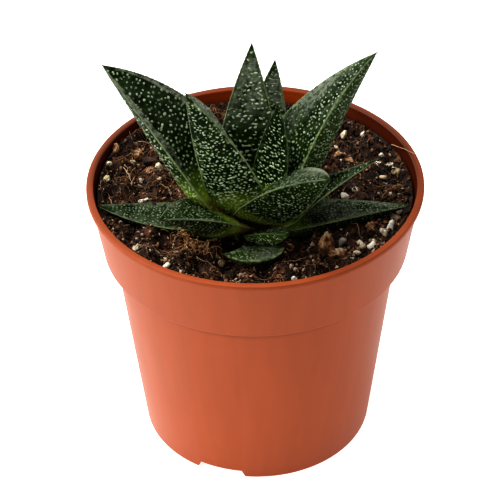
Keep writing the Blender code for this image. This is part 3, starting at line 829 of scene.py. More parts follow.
def corners(leaf, t, face):
    """A face's two ends and its bow, each as (across, up) in metres, for each place along the leaf."""
    size = outline(leaf, t)
    half = 0.5 * leaf.width * size
    depth = leaf.depth * size**DEPTH_POWER
    minus, plus = np.stack([-half, 0 * half], -1), np.stack([half, 0 * half], -1)
    keel = np.stack([leaf.keel * half, -depth], -1)
    if face == UPPER:
        return plus, minus, np.stack([0 * half, -LEAF_DISH * depth], -1)
    bow = 4 * LEAF_BELLY
    if face == LEFT:
        return minus, keel, np.stack([-bow * half, -bow * depth], -1)
    return keel, plus, np.stack([bow * half, -bow * depth], -1)


def face_width(leaf, t, face):
    """How wide a face is at each place along the leaf."""
    start, end, _ = corners(leaf, t, face)
    return np.linalg.norm(end - start, axis=-1)


def edge_bead(distance, radius):
    """How far a margin's round bead stands out of a face, at a distance from the corner that it runs along.

    The bead is a circle through the corner, with its centre on the line that halves the corner.
    """
    inside = radius**2 - (distance - radius * MARGIN_COS) ** 2
    return np.maximum(np.sqrt(np.maximum(inside, 0.0)) - radius * MARGIN_SIN, 0.0)


def bead_radius(leaf, t):
    """The margin's radius: as set, or a share of the leaf's width where that is less, as at the tip."""
    return np.minimum(settings().margin_r, MARGIN_SHARE * leaf.width * outline(leaf, t) + MARGIN_LEAST)


def skin(leaf, t, u, face, seed):
    """Points of one face of a leaf, at places t along it and u across it, from one of its edges to the other.

    A point is the centreline plus the section's straight side, bowed by a parabola, plus the margin's bead,
    the teeth and low waves, each along the section's normal.
    """
    start, end, bow = corners(leaf, t, face)
    u2 = u[..., None]
    flat = start + (end - start) * u2 + bow * u2 * (1 - u2)
    tangent = end - start + bow * (1 - 2 * u2)
    tangent = tangent / np.linalg.norm(tangent, axis=-1, keepdims=True)
    normal = np.stack([tangent[..., 1], -tangent[..., 0]], -1)
    width = face_width(leaf, t, face)
    radius = bead_radius(leaf, t)
    near, far = u * width, (1 - u) * width
    phase = np.random.default_rng(seed).uniform(0, 2 * np.pi, 5)
    mm = 1000 * leaf.length * t
    across_mm = 1000 * width * (u - 0.5)
    waves = np.sin(0.75 * mm + phase[0]) * np.sin(0.8 * across_mm + phase[1])
    waves = waves + 0.6 * np.sin(1.6 * mm + phase[2] + 1.4 * np.sin(0.7 * across_mm + phase[3]))
    waves = waves + 0.3 * np.sin(2.7 * mm + phase[4]) * np.sin(2.1 * across_mm + phase[0])
    fade = np.minimum(np.minimum(near, far) / WAVE_FADE, 1.0) * outline(leaf, t)
    height = edge_bead(near, radius) + edge_bead(far, radius) + WAVE_H * waves * fade
    local = flat + normal * height[..., None]
    tooth_phase = np.pi * leaf.length * t / TOOTH_PITCH
    tooth = np.abs(np.sin(tooth_phase + 0.9 * np.sin(0.37 * tooth_phase + leaf.azimuth))) ** 3
    reach = settings().tooth_h * tooth * np.sqrt(outline(leaf, t))
    near_out = np.exp(-((near / (1.2 * radius)) ** 2)) * reach
    far_out = np.exp(-((far / (1.2 * radius)) ** 2)) * reach
    ways = {UPPER: ((1, 0), (-1, 0)), LEFT: ((-1, 0), (0, -1)), RIGHT: ((0, -1), (1, 0))}[face]
    local = local + near_out[..., None] * np.array(ways[0]) + far_out[..., None] * np.array(ways[1])
    _, across, up = heading(leaf, t)
    return centreline(leaf, t) + local[..., :1] * across + local[..., 1:] * up


def face_stops(leaf, t, face):
    """Places across a face for the grid's columns: close together along both margins, even between them."""
    width = face_width(leaf, t, face)[:, None]
    edge = bead_radius(leaf, t)[:, None] * np.array(EDGE_STOPS)
    edge = edge * np.minimum(1.0, 0.4 * width / edge[:, -1:])
    middle = np.linspace(0, 1, FACE_CELLS + 1)[1:-1]
    between = edge[:, -1:] + (width - 2 * edge[:, -1:]) * middle
    return np.hstack([edge, between, width - edge[:, :0:-1]]) / width


class Spots(NamedTuple):
    """How a face's raised spots lie, as on a leaf of grain 1.

    along and across are their pitches, half_along and half_across their half sizes, sag is how many pitches
    each row bends towards the tip at the margins, chained the share of neighbours that run together, and
    missing the share left out.
    """

    along: float
    across: float
    half_along: float
    half_across: float
    sag: float
    chained: float
    missing: float


ROUND_SPOTS = Spots(0.0018, 0.0019, 0.00060, 0.00064, 0.2, 0.06, 0.05)
LEVEL_SPOTS = Spots(0.0016, 0.0019, 0.00050, 0.00082, 0.3, 0.14, 0.05)
DASH_SPOTS = Spots(0.0014, 0.0017, 0.00050, 0.00082, 0.7, 0.09, 0.08)
LEVEL_SPOTTED = ("back_tall", "young", "back_small")
DASHED = ("front_left", "front_short", "young", "left_tall", "right_tall", "rear_left", "rear_right")
SPOT_JITTER = 0.32
SPOT_FREE_TIP = 0.965
DOME_SIDES = 8
# Each ring of a dome: its radius and height as shares of the dome's, and how pale it is
DOME_RINGS = ((1.0, -0.35, 0.0), (0.68, 0.70, 0.9))
# The edge measure of a dome, which says that no margin is near
NO_MARGIN = 9.0


def spot_places(leaf, face, spots, rng):
    """Where a face's spots lie: in metres along the leaf and from the face's middle, and how they turn.

    The rows are staggered and bend towards the tip at the margins. A chained pair gets one more spot, halfway
    between the two and turned from the one to the other.
    """
    grain = LOOKS[leaf.name].grain
    along, across = grain * spots.along, grain * spots.across
    rows = int(leaf.length / along) + 1
    side = int(0.75 * leaf.width / across) + 2
    i, j = np.meshgrid(np.arange(rows), np.arange(-side, side + 1), indexing="ij")
    y = (j + 0.5 * (i % 2) + rng.uniform(-SPOT_JITTER, SPOT_JITTER, i.shape)) * across
    x = (i + rng.uniform(-SPOT_JITTER, SPOT_JITTER, i.shape) + 0.3 * np.sin(0.8 * j + 0.6 * i)) * along
    width = face_width(leaf, np.clip(x / leaf.length, 0, 0.99), face)
    bend = spots.sag * along * (2 * y / width) ** 2
    x = x + np.minimum(bend, 1.2 * spots.sag * along)
    lean = np.arctan(8 * spots.sag * along * y / width**2) + rng.normal(0, 0.42, i.shape)
    t = x / leaf.length
    width = face_width(leaf, np.clip(t, 0, 0.99), face)
    clear = 1.5 * bead_radius(leaf, np.clip(t, 0, 0.99)) + 0.5 * grain * spots.half_across
    kept = (np.abs(y) < 0.5 * width - clear) & (t > 0.01) & (t < SPOT_FREE_TIP)
    kept &= rng.random(i.shape) > spots.missing
    linked = kept[:, :-1] & kept[:, 1:] & (rng.random(kept[:, 1:].shape) < spots.chained)
    step_x, step_y = (x[:, 1:] - x[:, :-1])[linked], (y[:, 1:] - y[:, :-1])[linked]
    x = np.append(x[kept], 0.5 * (x[:, 1:] + x[:, :-1])[linked])
    y = np.append(y[kept], 0.5 * (y[:, 1:] + y[:, :-1])[linked])
    return x, y, np.append(lean[kept], np.arctan2(step_x, step_y))


def domes(leaf, face, spots, seed, rng):
    """Low domes on a face: rings of an ellipse in its tangent plane, raised along its normal to a pole."""
    x, y, lean = spot_places(leaf, face, spots, rng)
    t = x / leaf.length
    u = 0.5 + y / face_width(leaf, t, face)
    count = len(t)
    step = 0.0005
    centre = skin(leaf, t, u, face, seed)
    along = skin(leaf, t + step, u, face, seed) - centre
    across = skin(leaf, t, u + step, face, seed) - centre
    normal = np.cross(across, along)
    normal /= np.linalg.norm(normal, axis=-1, keepdims=True)
    along /= np.linalg.norm(along, axis=-1, keepdims=True)
    across = np.cross(along, normal)
    first = along * np.cos(lean)[:, None] - across * np.sin(lean)[:, None]
    second = across * np.cos(lean)[:, None] + along * np.sin(lean)[:, None]
    narrows = 0.78 + 0.22 * outline(leaf, t)
    size = LOOKS[leaf.name].grain * narrows * rng.uniform(0.68, 1.15, count)
    half_first = spots.half_along * size * rng.uniform(0.85, 1.15, count)
    half_second = spots.half_across * size * rng.uniform(0.75, 1.30, count)
    turn = 2 * np.pi * np.arange(DOME_SIDES) / DOME_SIDES
    radius, rise, pale = np.array(DOME_RINGS).T
    reach = radius[:, None] * (1 + 0.26 * rng.uniform(-1, 1, (count, 1, DOME_SIDES)))
    top = settings().spot_h * size
    ahead = half_first[:, None, None] * reach * np.cos(turn)
    beside = half_second[:, None, None] * reach * np.sin(turn)
    raised = top[:, None, None] * rise[:, None] + 0 * turn
    ways = [way[:, None, None] for way in (first, second, normal)]
    rings = centre[:, None, None] + sum(h[..., None] * way for h, way in zip((ahead, beside, raised), ways))
    poles = centre + top[:, None] * normal
    points = np.concatenate([rings.reshape(count, -1, 3), poles[:, None]], 1)
    ring_points = len(DOME_RINGS) * DOME_SIDES
    quads = grid_faces(len(DOME_RINGS), DOME_SIDES, True)
    cap = fan_faces(ring_points, np.arange(ring_points - DOME_SIDES, ring_points))[:, ::-1]
    under = np.arange(DOME_SIDES)[None, ::-1]
    stride = ring_points + 1
    measures = {
        "spot": np.tile(np.append(np.repeat(pale, DOME_SIDES), 1.0), count),
        "edge": np.full(count * stride, NO_MARGIN),
        "upper": np.full(count * stride, float(face == UPPER)),
        "from_base": np.repeat(1000 * x, stride),
        "to_tip": np.repeat(1000 * (leaf.length - x), stride),
        "from_middle": np.repeat(1000 * y, stride),
        "side": np.repeat(np.abs(2 * u - 1), stride),
        "tone": np.repeat(rng.uniform(0, 1, count), stride),
    }
    return points, [repeated(part, count, stride) for part in (quads, cap, under)], measures


def leaf_skin(leaf, seed):
    """The smooth skin of a leaf: its three faces on one closed grid, with a pole at its root and its tip."""
    rows = int(leaf.length * (1 - LEAF_ROOT) / LEAF_CELL)
    end = 1 + POINT_L / leaf.length
    t = LEAF_ROOT + (end - 0.001 - LEAF_ROOT) * np.linspace(0, 1, rows)
    rings, edges, uppers, middles, sides = [], [], [], [], []
    for face in (UPPER, LEFT, RIGHT):
        u = face_stops(leaf, t, face)[:, :-1]
        place = np.broadcast_to(t[:, None], u.shape)
        width = face_width(leaf, place, face)
        rings.append(skin(leaf, place, u, face, seed))
        edges.append(np.minimum(u, 1 - u) * width / bead_radius(leaf, place))
        uppers.append(np.full(u.shape, float(face == UPPER)))
        middles.append(1000 * (u - 0.5) * width)
        sides.append(np.abs(2 * u - 1))
    grid = np.concatenate(rings, 1)
    points, faces = capped(grid, grid[0].mean(0), centreline(leaf, np.array([end]))[0])
    along = np.append(np.repeat(t, grid.shape[1]), (LEAF_ROOT, end))
    measures = {
        "spot": np.zeros(len(points)),
        "edge": np.append(np.concatenate(edges, 1), (1.0, 0.0)),
        "upper": np.append(np.concatenate(uppers, 1), (0.0, 1.0)),
        "from_base": 1000 * leaf.length * along,
        "to_tip": 1000 * leaf.length * (1 - along),
        "from_middle": np.append(np.concatenate(middles, 1), (0.0, 0.0)),
        "side": np.append(np.concatenate(sides, 1), (0.0, 0.0)),
        "tone": np.full(len(points), 0.5),
    }
    return points, faces, measures


def joined(parts):
    """Several sets of points, faces and measures as one."""
    points, faces, measures, shift = [], {}, {}, 0
    for part_points, part_faces, part_measures in parts:
        part_points = part_points.reshape(-1, 3)
        points.append(part_points)
        for part in part_faces:
            faces.setdefault(part.shape[1], []).append(part + shift)
        for key, values in part_measures.items():
            measures.setdefault(key, []).append(values)
        shift += len(part_points)
    faces = [np.vstack(group) for group in faces.values()]
    return np.vstack(points), faces, {key: np.concatenate(group) for key, group in measures.items()}


def lighter(colour, by):
    """A colour times a number, where that is more than 1."""
    return tuple(max(by, 1.0) * channel for channel in colour)


def leaf_finish(leaf):
    """Dark green satin skin: raised and flat pale spots, pale margins, yellow bases, grey wax and painted
    sheen.
    """
    colours, look = settings(), LOOKS[leaf.name]
    made = Finish(f"gasteria_skin_{leaf.name}")
    spot, edge, upper, side = map(made.measure, ("spot", "edge", "upper", "side"))
    from_base, to_tip, from_middle, tone = map(made.measure, ("from_base", "to_tip", "from_middle", "tone"))
    part = made.maths("DIVIDE", from_base, 1000 * leaf.length)
    clouds, mottle, fine = made.noise(0.0045), made.noise(0.0016), made.noise(0.0005, 2.0)

    # The green between the spots, darkest in patches
    green = made.mix(colours.leaf_green, colours.light_green, clouds.ramp(0.35, 0.70))
    # Lighter green: partly the leaf's own tone, partly painted light on leaves and outer faces in shade
    light = look.light + (1.0 - upper) * look.outer
    green = green.tint(lighter(SKIN_LIGHT, look.light), light.at_most(1.0))

    # Flat flecks between the raised spots, in cells laid out along and across the leaf
    inputs = {0: from_middle, 1: from_base, 2: UPPER_SHIFT * upper}
    place = made.value("ShaderNodeCombineXYZ", "Vector", inputs)
    fleck = made.cells(0.9 * look.grain, place=place).ramp(0.42, 0.12) * mottle.ramp(0.35, 0.6)
    green = green.tint(SKIN_FLECK, 0.30 * (fleck * part.ramp(0.10, 0.45)))

    # Grey wax and painted sheen on the upper face: in clouds, on a mottled left half, and in a band beside
    # the margins
    patches = made.noise(0.0013, 2.0).ramp(0.42, 0.57)
    reach = part + look.low
    wax_sheen_film = ((clouds + 0.5 * mottle).ramp(0.55, 0.92) * look.wax_sheen).at_most(1.0) * side.ramp(1.05, 0.60)
    wax_sheen_film = wax_sheen_film * (reach + 0.25 * clouds).ramp(0.48, 0.72) * (0.55 + 0.45 * patches)
    left = (from_middle + 3.0 * clouds).ramp(2.2, -2.6)
    left_sheen = (left * (0.25 + 0.75 * patches) * look.tilt).at_most(1.0)
    outer_half = upper * reach.ramp(0.30, 0.66)
    clear_tip = to_tip.ramp(1.5, 7.0)
    green = green.tint(colours.wax_and_sheen_colour, wax_sheen_film.at_least(left_sheen) * outer_half * clear_tip)
    band = (side + 0.25 * (clouds - 0.5)).ramp(0.72, 0.81) * outer_half * (clear_tip * look.rim)
    if look.tilt:
        band = band * left
    green = green.tint(SKIN_SHEEN_BAND, band * mottle.ramp(0.25, 0.60))
    covered = (left * outer_half * (0.85 * min(look.tilt, 1.0))).at_least(0.85 * band)

    # Yellow green towards the base, made paler as painted light in the crown's shade, and brown where it
    # meets the stem
    near_base = (part + 0.10 * clouds).ramp(look.base + 0.15, look.base - 0.12)
    green = green.tint(colours.base_colour, 0.9 * near_base)
    brown = (part + 0.05 * mottle).ramp(look.base - 0.03, look.base - 0.17)
    green = green.tint(SKIN_FOOT, 0.8 * brown)

    # Horny margins and keels, broken up and duller towards the tip, with scurfy skin beside them
    broken = made.noise(0.0007, 1.0).ramp(0.38, 0.58)
    scurf = edge.ramp(7.0, 1.5) * mottle.ramp(0.46, 0.62)
    green = green.tint(SKIN_SCURF, scurf * (0.7 * look.scurf))
    margin = edge.ramp(1.7, 0.9) * (0.45 + 0.55 * broken)
    line = made.mix(lighter(colours.margin_colour, look.line), MARGIN_DULL, part.ramp(0.45, 0.80))
    green = green.tint(line, margin * min(look.line, 1.0))

    # The raised spots, each paler or duller, and fainter on the upper face's lower half; paler on shaded
    # leaves, as painted light
    pale = made.mix(SPOT_DULL, lighter(colours.spot_colour, look.bright), tone.ramp(0.0, 0.8))
    pale = pale.tint(SPOT_YELLOW, 0.6 * near_base)
    dim = upper * part.ramp(0.50, 0.22)
    shown = (1.0 - look.fade * dim) * look.bright * (1.0 - covered)
    green = green.tint(pale, (spot.ramp(0.10, 1.0) * shown).at_most(1.0))

    green = green.tint(TIP_BROWN, 0.85 * to_tip.ramp(1.9, 0.6))
    made.feed(made.shader, {"IOR": 1.45, "Specular IOR Level": 0.08})
    return made.done(green, 0.34 + 0.16 * mottle, made.relief(fine, 0.00003, made.relief(mottle, 0.00010)))


def make_leaf(leaf, number):
    """One leaf as one mesh: its skin, with the domes of its spots standing in it."""
    rng = np.random.default_rng(LEAF_SEED + number)
    upper_spots = LEVEL_SPOTS if leaf.name in LEVEL_SPOTTED else ROUND_SPOTS
    outer_spots = DASH_SPOTS if leaf.name in DASHED else ROUND_SPOTS
    parts = [leaf_skin(leaf, number)]
    for face, spots in ((UPPER, upper_spots), (LEFT, outer_spots), (RIGHT, outer_spots)):
        parts.append(domes(leaf, face, spots, number, rng))
    name = f"{leaf.name}_spotted_leaf"
    mesh = make_mesh(name, *joined(parts))
    return add_piece(name, mesh, leaf_finish(leaf), (f"leaf_{leaf.name}",))


def wall_r(z):
    """The pot's outer radius at a height."""
    if z >= COLLAR_FOOT_Z:
        return COLLAR_FOOT_R + (RIM_R - LIP_OUT - COLLAR_FOOT_R) * (z - COLLAR_FOOT_Z) / COLLAR_H
    return FOOT_R + (BODY_TOP_R - FOOT_R) * z / BODY_TOP_Z


def eased(corners_and_radii, steps=4):
    """A closed outline with rounded corners, each a parabola between points its radius to either side."""
    spots = np.array([corner[:2] for corner in corners_and_radii])
    radii = np.array([corner[2] for corner in corners_and_radii])[:, None]
    ways = [other - spots for other in (np.roll(spots, 1, 0), np.roll(spots, -1, 0))]
    starts, ends = [spots + way / np.linalg.norm(way, axis=1, keepdims=True) * radii for way in ways]
    s = np.linspace(0, 1, steps + 1)[None, :, None]
    curves = starts[:, None] * (1 - s) ** 2 + 2 * spots[:, None] * s * (1 - s) + ends[:, None] * s**2
    return curves.reshape(-1, 2)


def pot_outline():
    """The pot's section: corners of radius, height and rounding, down the outside and up the inside."""
    lip_under = POT_H - LIP_H
    small = 0.4 * EDGE_R
    return eased((
        (RIM_R, POT_H, EDGE_R),
        (RIM_R, lip_under, small),
        (wall_r(lip_under), lip_under, small),
        (COLLAR_FOOT_R, COLLAR_FOOT_Z, EDGE_R),
        (BODY_TOP_R, BODY_TOP_Z, EDGE_R),
        (FOOT_R, 0.0, EDGE_R),
        (FOOT_R - FOOT_W, 0.0, small),
        (FOOT_R - FOOT_W, FLOOR_UNDER, small),
        (CENTRE_HOLE_R, FLOOR_UNDER, small),
        (CENTRE_HOLE_R, FLOOR_TOP_Z, small),
        (wall_r(FLOOR_TOP_Z) - WALL, FLOOR_TOP_Z, EDGE_R),
        (BODY_TOP_R - WALL, BODY_TOP_Z, EDGE_R),
        (COLLAR_FOOT_R - WALL, COLLAR_FOOT_Z + WALL, EDGE_R),
        (wall_r(lip_under) - WALL, lip_under, EDGE_R),
        (RIM_R - LIP_W, POT_H, EDGE_R),
    ))


def turned(outline_points, steps):
    """A closed outline carried round the Z axis: each step turns it by the same angle."""
    turn = 2 * np.pi * np.arange(steps)[:, None] / steps
    radius, height = outline_points.T
    grid = np.stack([radius * np.cos(turn), radius * np.sin(turn), height + 0 * turn], -1)
    faces = grid_faces(steps + 1, len(radius), True) % (steps * len(radius))
    return grid, faces[:, ::-1]


def drilled(mesh, cutters):
    """A mesh with other meshes cut out of it."""
    body = add_object("drilled", mesh)
    made = [body]
    for number, cutter in enumerate(cutters):
        tool = add_object(f"cutter_{number}", cutter)
        cut = body.modifiers.new("cut", "BOOLEAN")
        cut.operation = "DIFFERENCE"
        cut.object = tool
        made.append(tool)
    graph = bpy.context.evaluated_depsgraph_get()
    result = bpy.data.meshes.new_from_object(body.evaluated_get(graph))
    for obj in made:
        bpy.data.objects.remove(obj)
    return result


def prisms(name, points):
    """A mesh of closed prisms, from their corners in order of prism, end and corner."""
    count, _, sides, _ = points.shape
    ring = np.arange(sides)
    walls = repeated(grid_faces(2, sides, True), count, 2 * sides)
    ends = repeated(np.stack([ring[::-1], ring + sides]), count, 2 * sides)
    return make_mesh(name, points, [walls, ends])


def drain_mesh():
    """Round rods where the pot's floor has its drain holes."""
    hole = 2 * np.pi * (np.arange(DRAINS) + 0.5) / DRAINS
    turn = 2 * np.pi * np.arange(DRAIN_SIDES) / DRAIN_SIDES
    x = DRAIN_RING_R * np.cos(hole)[:, None, None] + DRAIN_R * np.cos(turn)
    y = DRAIN_RING_R * np.sin(hole)[:, None, None] + DRAIN_R * np.sin(turn)
    z = np.array([FLOOR_UNDER - FLOOR_T, FLOOR_UNDER + 2 * FLOOR_T])[None, :, None]
    return prisms("drains", np.stack(np.broadcast_arrays(x, y, z), -1))


def notch_mesh():
    """Blocks with slanted ends where the pot's foot ring has its notches."""
    reach = 2 * FOOT_W + 2 * WALL
    wide = np.array([0.5 * NOTCH_W + NOTCH_SLANT, 0.5 * NOTCH_W - NOTCH_SLANT])
    level = np.array([-NOTCH_H, NOTCH_H])
    corner = [(x, y * w, z) for w, z in zip(wide, level) for x, y in ((-1, -1), (1, -1), (1, 1), (-1, 1))]
    local = np.array(corner) * (reach, 1, 1) + (FOOT_R, 0, 0)
    turn = np.radians(NOTCH_AZIMUTH + 360 * np.arange(NOTCHES) / NOTCHES)[:, None]
    x = local[:, 0] * np.cos(turn) - local[:, 1] * np.sin(turn)
    y = local[:, 0] * np.sin(turn) + local[:, 1] * np.cos(turn)
    return prisms("notches", np.stack([x, y, local[:, 2] + 0 * x], -1).reshape(NOTCHES, 2, 4, 3))


def collar_masks(made):
    """Masks of the pot, from 0 to 1.

    They are the inner face of its collar, how deep a place on it is, its two sides, the rim's back, and the
    band of the body just under the collar. Each marks where painted shade goes, and the depth also where peat
    stains go.
    """
    aside, back, height = (made.value("ShaderNodeSeparateXYZ", axis, {0: made.place}) for axis in "XYZ")
    radius = made.length(made.stretched(1.0, 1.0, 0.0))
    slope = (RIM_R - LIP_OUT - COLLAR_FOOT_R) / COLLAR_H
    start = COLLAR_FOOT_R - slope * COLLAR_FOOT_Z
    inner = (radius - slope * height).ramp(start, start - 0.8 * WALL)
    above = height.ramp(POT_H - 0.8 * COLLAR_H, POT_H - 0.7 * COLLAR_H)
    top = height.ramp(POT_H - EDGE_R, POT_H)
    front_top = top * back.ramp(*RIM_FRONT_Y)
    inner = inner * above * (1.0 - front_top)
    # Deeper inside is darker: peat stains, and painted shade
    deep = height.ramp(POT_H - LIP_H, SOIL_Z, "LINEAR")
    beside = made.maths("ABSOLUTE", aside).ramp(*INNER_SIDE_X)
    # The rim's top at the back, darkened as painted shade
    rim = top * back.ramp(*RIM_BACK_Y)
    # The band of the body just under the collar, darkened as painted shade
    under = height.ramp(COLLAR_FOOT_Z - UNDER_SHADE_FROM, COLLAR_FOOT_Z - UNDER_SHADE_FULL)
    under = under * height.ramp(COLLAR_FOOT_Z, COLLAR_FOOT_Z - UNDER_SHADE_TOP)
    return inner, deep, beside, rim, under


def pot_finish():
    """Satin terracotta plastic: faint upright flow marks, rubbed patches, dust, peat stains, and painted
    shade inside and under the collar.
    """
    made = Finish("terracotta_plastic")
    flow = made.noise(0.004, place=made.stretched(1.0, 1.0, 0.06))
    clouds = made.noise(0.03, 4.0)
    dust = made.noise(0.0016, 4.0).ramp(0.66, 0.80)
    smears = made.noise(0.006, 4.0).ramp(0.2, 0.8)
    inner, deep, beside, rim, under = collar_masks(made)
    colour = settings().pot_colour
    plastic = made.mix(tuple(0.94 * part for part in colour), colour, flow.ramp(0.3, 0.7))
    # Rubbed patches and dust are the plastic's own; the rest is painted shade, with peat stains deep inside
    marks = (
        (POT_RUBBED, 0.25 * clouds.ramp(0.4, 0.8)),
        (POT_DUST, 0.08 * dust),
        (POT_UNDER_SHADE, 0.34 * under),
        (POT_INSIDE_SHADE, 0.80 * inner),
        (POT_INSIDE_SIDES_SHADE, 0.84 * (inner * beside)),
        (POT_RIM_BACK_SHADE, 0.62 * rim),
        (POT_STAIN_AND_SHADE, 0.66 * (inner * deep * (0.45 + 0.55 * smears))),
    )
    for mark, share in marks:
        plastic = plastic.tint(mark, share)
    made.feed(made.shader, {"Specular IOR Level": 0.15})
    grain = made.relief(made.noise(0.0005, 2.0), 0.00002)
    return made.done(plastic, 0.40 + 0.14 * clouds, made.relief(flow, 0.00002, grain))


def make_pot():
    """The pot's shell: its outline turned, then drilled by its drain holes and notched at its foot."""
    points, faces = turned(pot_outline(), POT_STEPS)
    mesh = drilled(make_mesh("pot_shell", points, [faces]), (drain_mesh(), notch_mesh()))
    mesh.name = "pot_shell"
    piece = add_piece("pot_shell", mesh, pot_finish(), ("pot",))
    mesh.set_sharp_from_angle(angle=math.radians(POT_SHARP))
    return piece


def soil_waves():
    """The long waves of the soil's top, drawn as for the solid that this surface stands for."""
    rng = random.Random(SOIL_SEED)
    return [
        (rng.uniform(-SOIL_WAVE, SOIL_WAVE), rng.uniform(-SOIL_WAVE, SOIL_WAVE), rng.uniform(0, 2 * math.pi))
        for _ in range(SOIL_WAVES)
    ]


def soil_dip(x, y):
    """How far the soil's top dips in front of and around the plant."""
    away = np.hypot(x - PLANT_X, y - PLANT_Y + SOIL_DIP_AHEAD) / SOIL_DIP_R
    return SOIL_DIP * np.exp(-away * away)


def soil_bank(x, y):
    """How far the soil is banked up against the pot's wall: most at the back left, and least at the front."""
    r = np.maximum(np.hypot(x, y), GAP)
    sides = 0.20 + 0.45 * (x / r) ** 2 + 0.35 * np.clip(y / r + 0.3, 0.0, 1.0)
    sides = sides + 0.55 * np.clip(0.64 * y / r - 0.77 * x / r, 0.0, 1.0) ** 3
    share = np.clip((r - SOIL_BANK_R[0]) / (SOIL_BANK_R[1] - SOIL_BANK_R[0]), 0.0, 1.0)
    return SOIL_BANK * sides * share * share


def soil_reach(room):
    """The radius of the soil's top, less some room at the pot's wall."""
    return wall_r(SOIL_Z) - WALL - room


def soil_top(x, y):
    """The soil's top: its level, its waves, the dip round the plant and the bank at the wall."""
    height = sum(np.sin(x * ax + y * ay + phase) for ax, ay, phase in soil_waves())
    share = np.clip((soil_reach(GAP) - np.hypot(x, y)) / SOIL_EDGE_ROOM, 0.0, 1.0)
    return SOIL_Z + (SOIL_BUMP * height - soil_dip(x, y)) * share + soil_bank(x, y)


def lumpy(x, y, size, seed):
    """Round lumps packed in cells of a size: up to 1 on a lump's middle, and 0 from 3/4 of a cell."""
    rng = np.random.default_rng(seed)
    count = 64
    jitter = rng.uniform(0.1, 0.9, (2, count, count))
    heights = rng.uniform(0.35, 1.0, (count, count))
    column, row = np.floor(x / size).astype(int), np.floor(y / size).astype(int)
    best = np.zeros_like(x)
    for right in (-1, 0, 1):
        for back in (-1, 0, 1):
            i, j = (column + right) % count, (row + back) % count
            dx = x / size - (column + right + jitter[0, i, j])
            dy = y / size - (row + back + jitter[1, i, j])
            dome = heights[i, j] * np.sqrt(np.maximum(1 - (dx * dx + dy * dy) / 0.55, 0.0))
            best = np.maximum(best, dome)
    return best


def crumbled_top(x, y):
    """The soil's top with its crumbs: packed lumps of three sizes, lower at the pot's wall."""
    crumbs = sum(0.4 * size * lumpy(x, y, size, seed) for size, seed in SOIL_LUMPS)
    share = np.clip((soil_reach(GAP) - np.hypot(x, y)) / SOIL_LUMP_SINK, 0.2, 1.0)
    return soil_top(x, y) + (crumbs - SOIL_LUMP_SINK) * share


def disc_grid(cells, radius):
    """A square grid bent into a disc: squares round the middle become circles, so cells stay even."""
    a, b = np.meshgrid(*2 * [np.linspace(-1, 1, cells + 1)], indexing="ij")
    wide = np.abs(a) > np.abs(b)
    r = np.where(wide, a, b)
    with np.errstate(divide="ignore", invalid="ignore"):
        turn = np.where(wide, 0.25 * np.pi * b / a, 0.5 * np.pi - 0.25 * np.pi * a / b)
    turn = np.nan_to_num(turn)
    return radius * r * np.cos(turn), radius * r * np.sin(turn)


def soil_mesh():
    """The soil: its crumbled top on a disc, a side that follows the pot's wall and a flat underside."""
    edge = soil_reach(GAP)
    x, y = disc_grid(SOIL_CELLS, edge)
    z = crumbled_top(x, y)
    from_stem = np.hypot(x - PLANT_X, y - PLANT_Y)
    z = np.where(from_stem < STEM_R + GAP, STEM_LOW.z - SOIL_UNDER_STEM, z)
    top = np.stack([x, y, z], -1).reshape(-1, 3)
    size = SOIL_CELLS + 1
    index = np.arange(size * size).reshape(size, size)
    rim = np.concatenate([index[0, :-1], index[:-1, -1], index[-1, :0:-1], index[:0:-1, 0]])
    floor = FLOOR_TOP_Z + GAP
    levels = (
        (COLLAR_FOOT_R - WALL - GAP, COLLAR_FOOT_Z + WALL),
        (BODY_TOP_R - WALL - GAP, BODY_TOP_Z),
        (wall_r(floor) - WALL - GAP, floor),
    )
    around = top[rim, :2] / edge
    sides = [np.column_stack([around * radius, np.full(len(rim), height)]) for radius, height in levels]
    points = np.vstack([top, *sides, [[0.0, 0.0, floor]]])
    rings = [rim] + [len(top) + len(rim) * level + np.arange(len(rim)) for level in range(len(levels))]
    quads = [grid_faces(size, size, False)[:, ::-1]]
    for above, below in zip(rings, rings[1:]):
        quads.append(np.stack([above, np.roll(above, -1), np.roll(below, -1), below], -1))
    return points, [np.vstack(quads), fan_faces(len(points) - 1, rings[-1])[:, ::-1]]


def peat_finish():
    """Damp peat: near-black crumbs with rust-brown and tan ones among them, matt and finely pitted."""
    made = Finish("peat")
    random_tone = made.value("ShaderNodeSeparateColor", 0, {0: made.cells(0.0013, "Color")})
    fine, clouds = made.noise(0.0005, 4.0), made.noise(0.007)
    brown = made.mix(settings().peat_colour, PEAT_BROWN, fine.ramp(0.35, 0.7))
    brown = brown.tint(PEAT_RUST, random_tone.ramp(0.66, 0.88))
    brown = brown.tint(PEAT_TAN, 0.5 * fine.ramp(0.62, 0.75))
    brown = brown.tint(PEAT_BLACK, 0.6 * clouds.ramp(0.55, 0.35))
    return made.done(brown, 0.75 + 0.3 * fine, made.relief(fine, 0.0003))


def make_soil():
    """The soil's bed."""
    mesh = make_mesh("peat_bed", *soil_mesh())
    return add_piece("peat_bed", mesh, peat_finish(), ("soil",))


def bits_finish(name):
    """A matt finish whose colour follows the tone of each bit, broken up by fine noise and by patches."""
    bits = BITS[name]
    made = Finish(name)
    fine = made.noise(bits.grain, 4.0)
    tone = made.measure("tone") + 0.40 * (fine - 0.5)
    if bits.patchy:
        tone = tone + bits.patchy * (made.noise(0.0020).ramp(0.35, 0.65) - 0.5)
    colour = bits.stops[0][1]
    for (low, _), (high, next_colour) in zip(bits.stops, bits.stops[1:]):
        colour = made.mix(colour, next_colour, tone.ramp(low, high))
    return made.done(colour, bits.roughness, made.relief(fine, bits.depth))


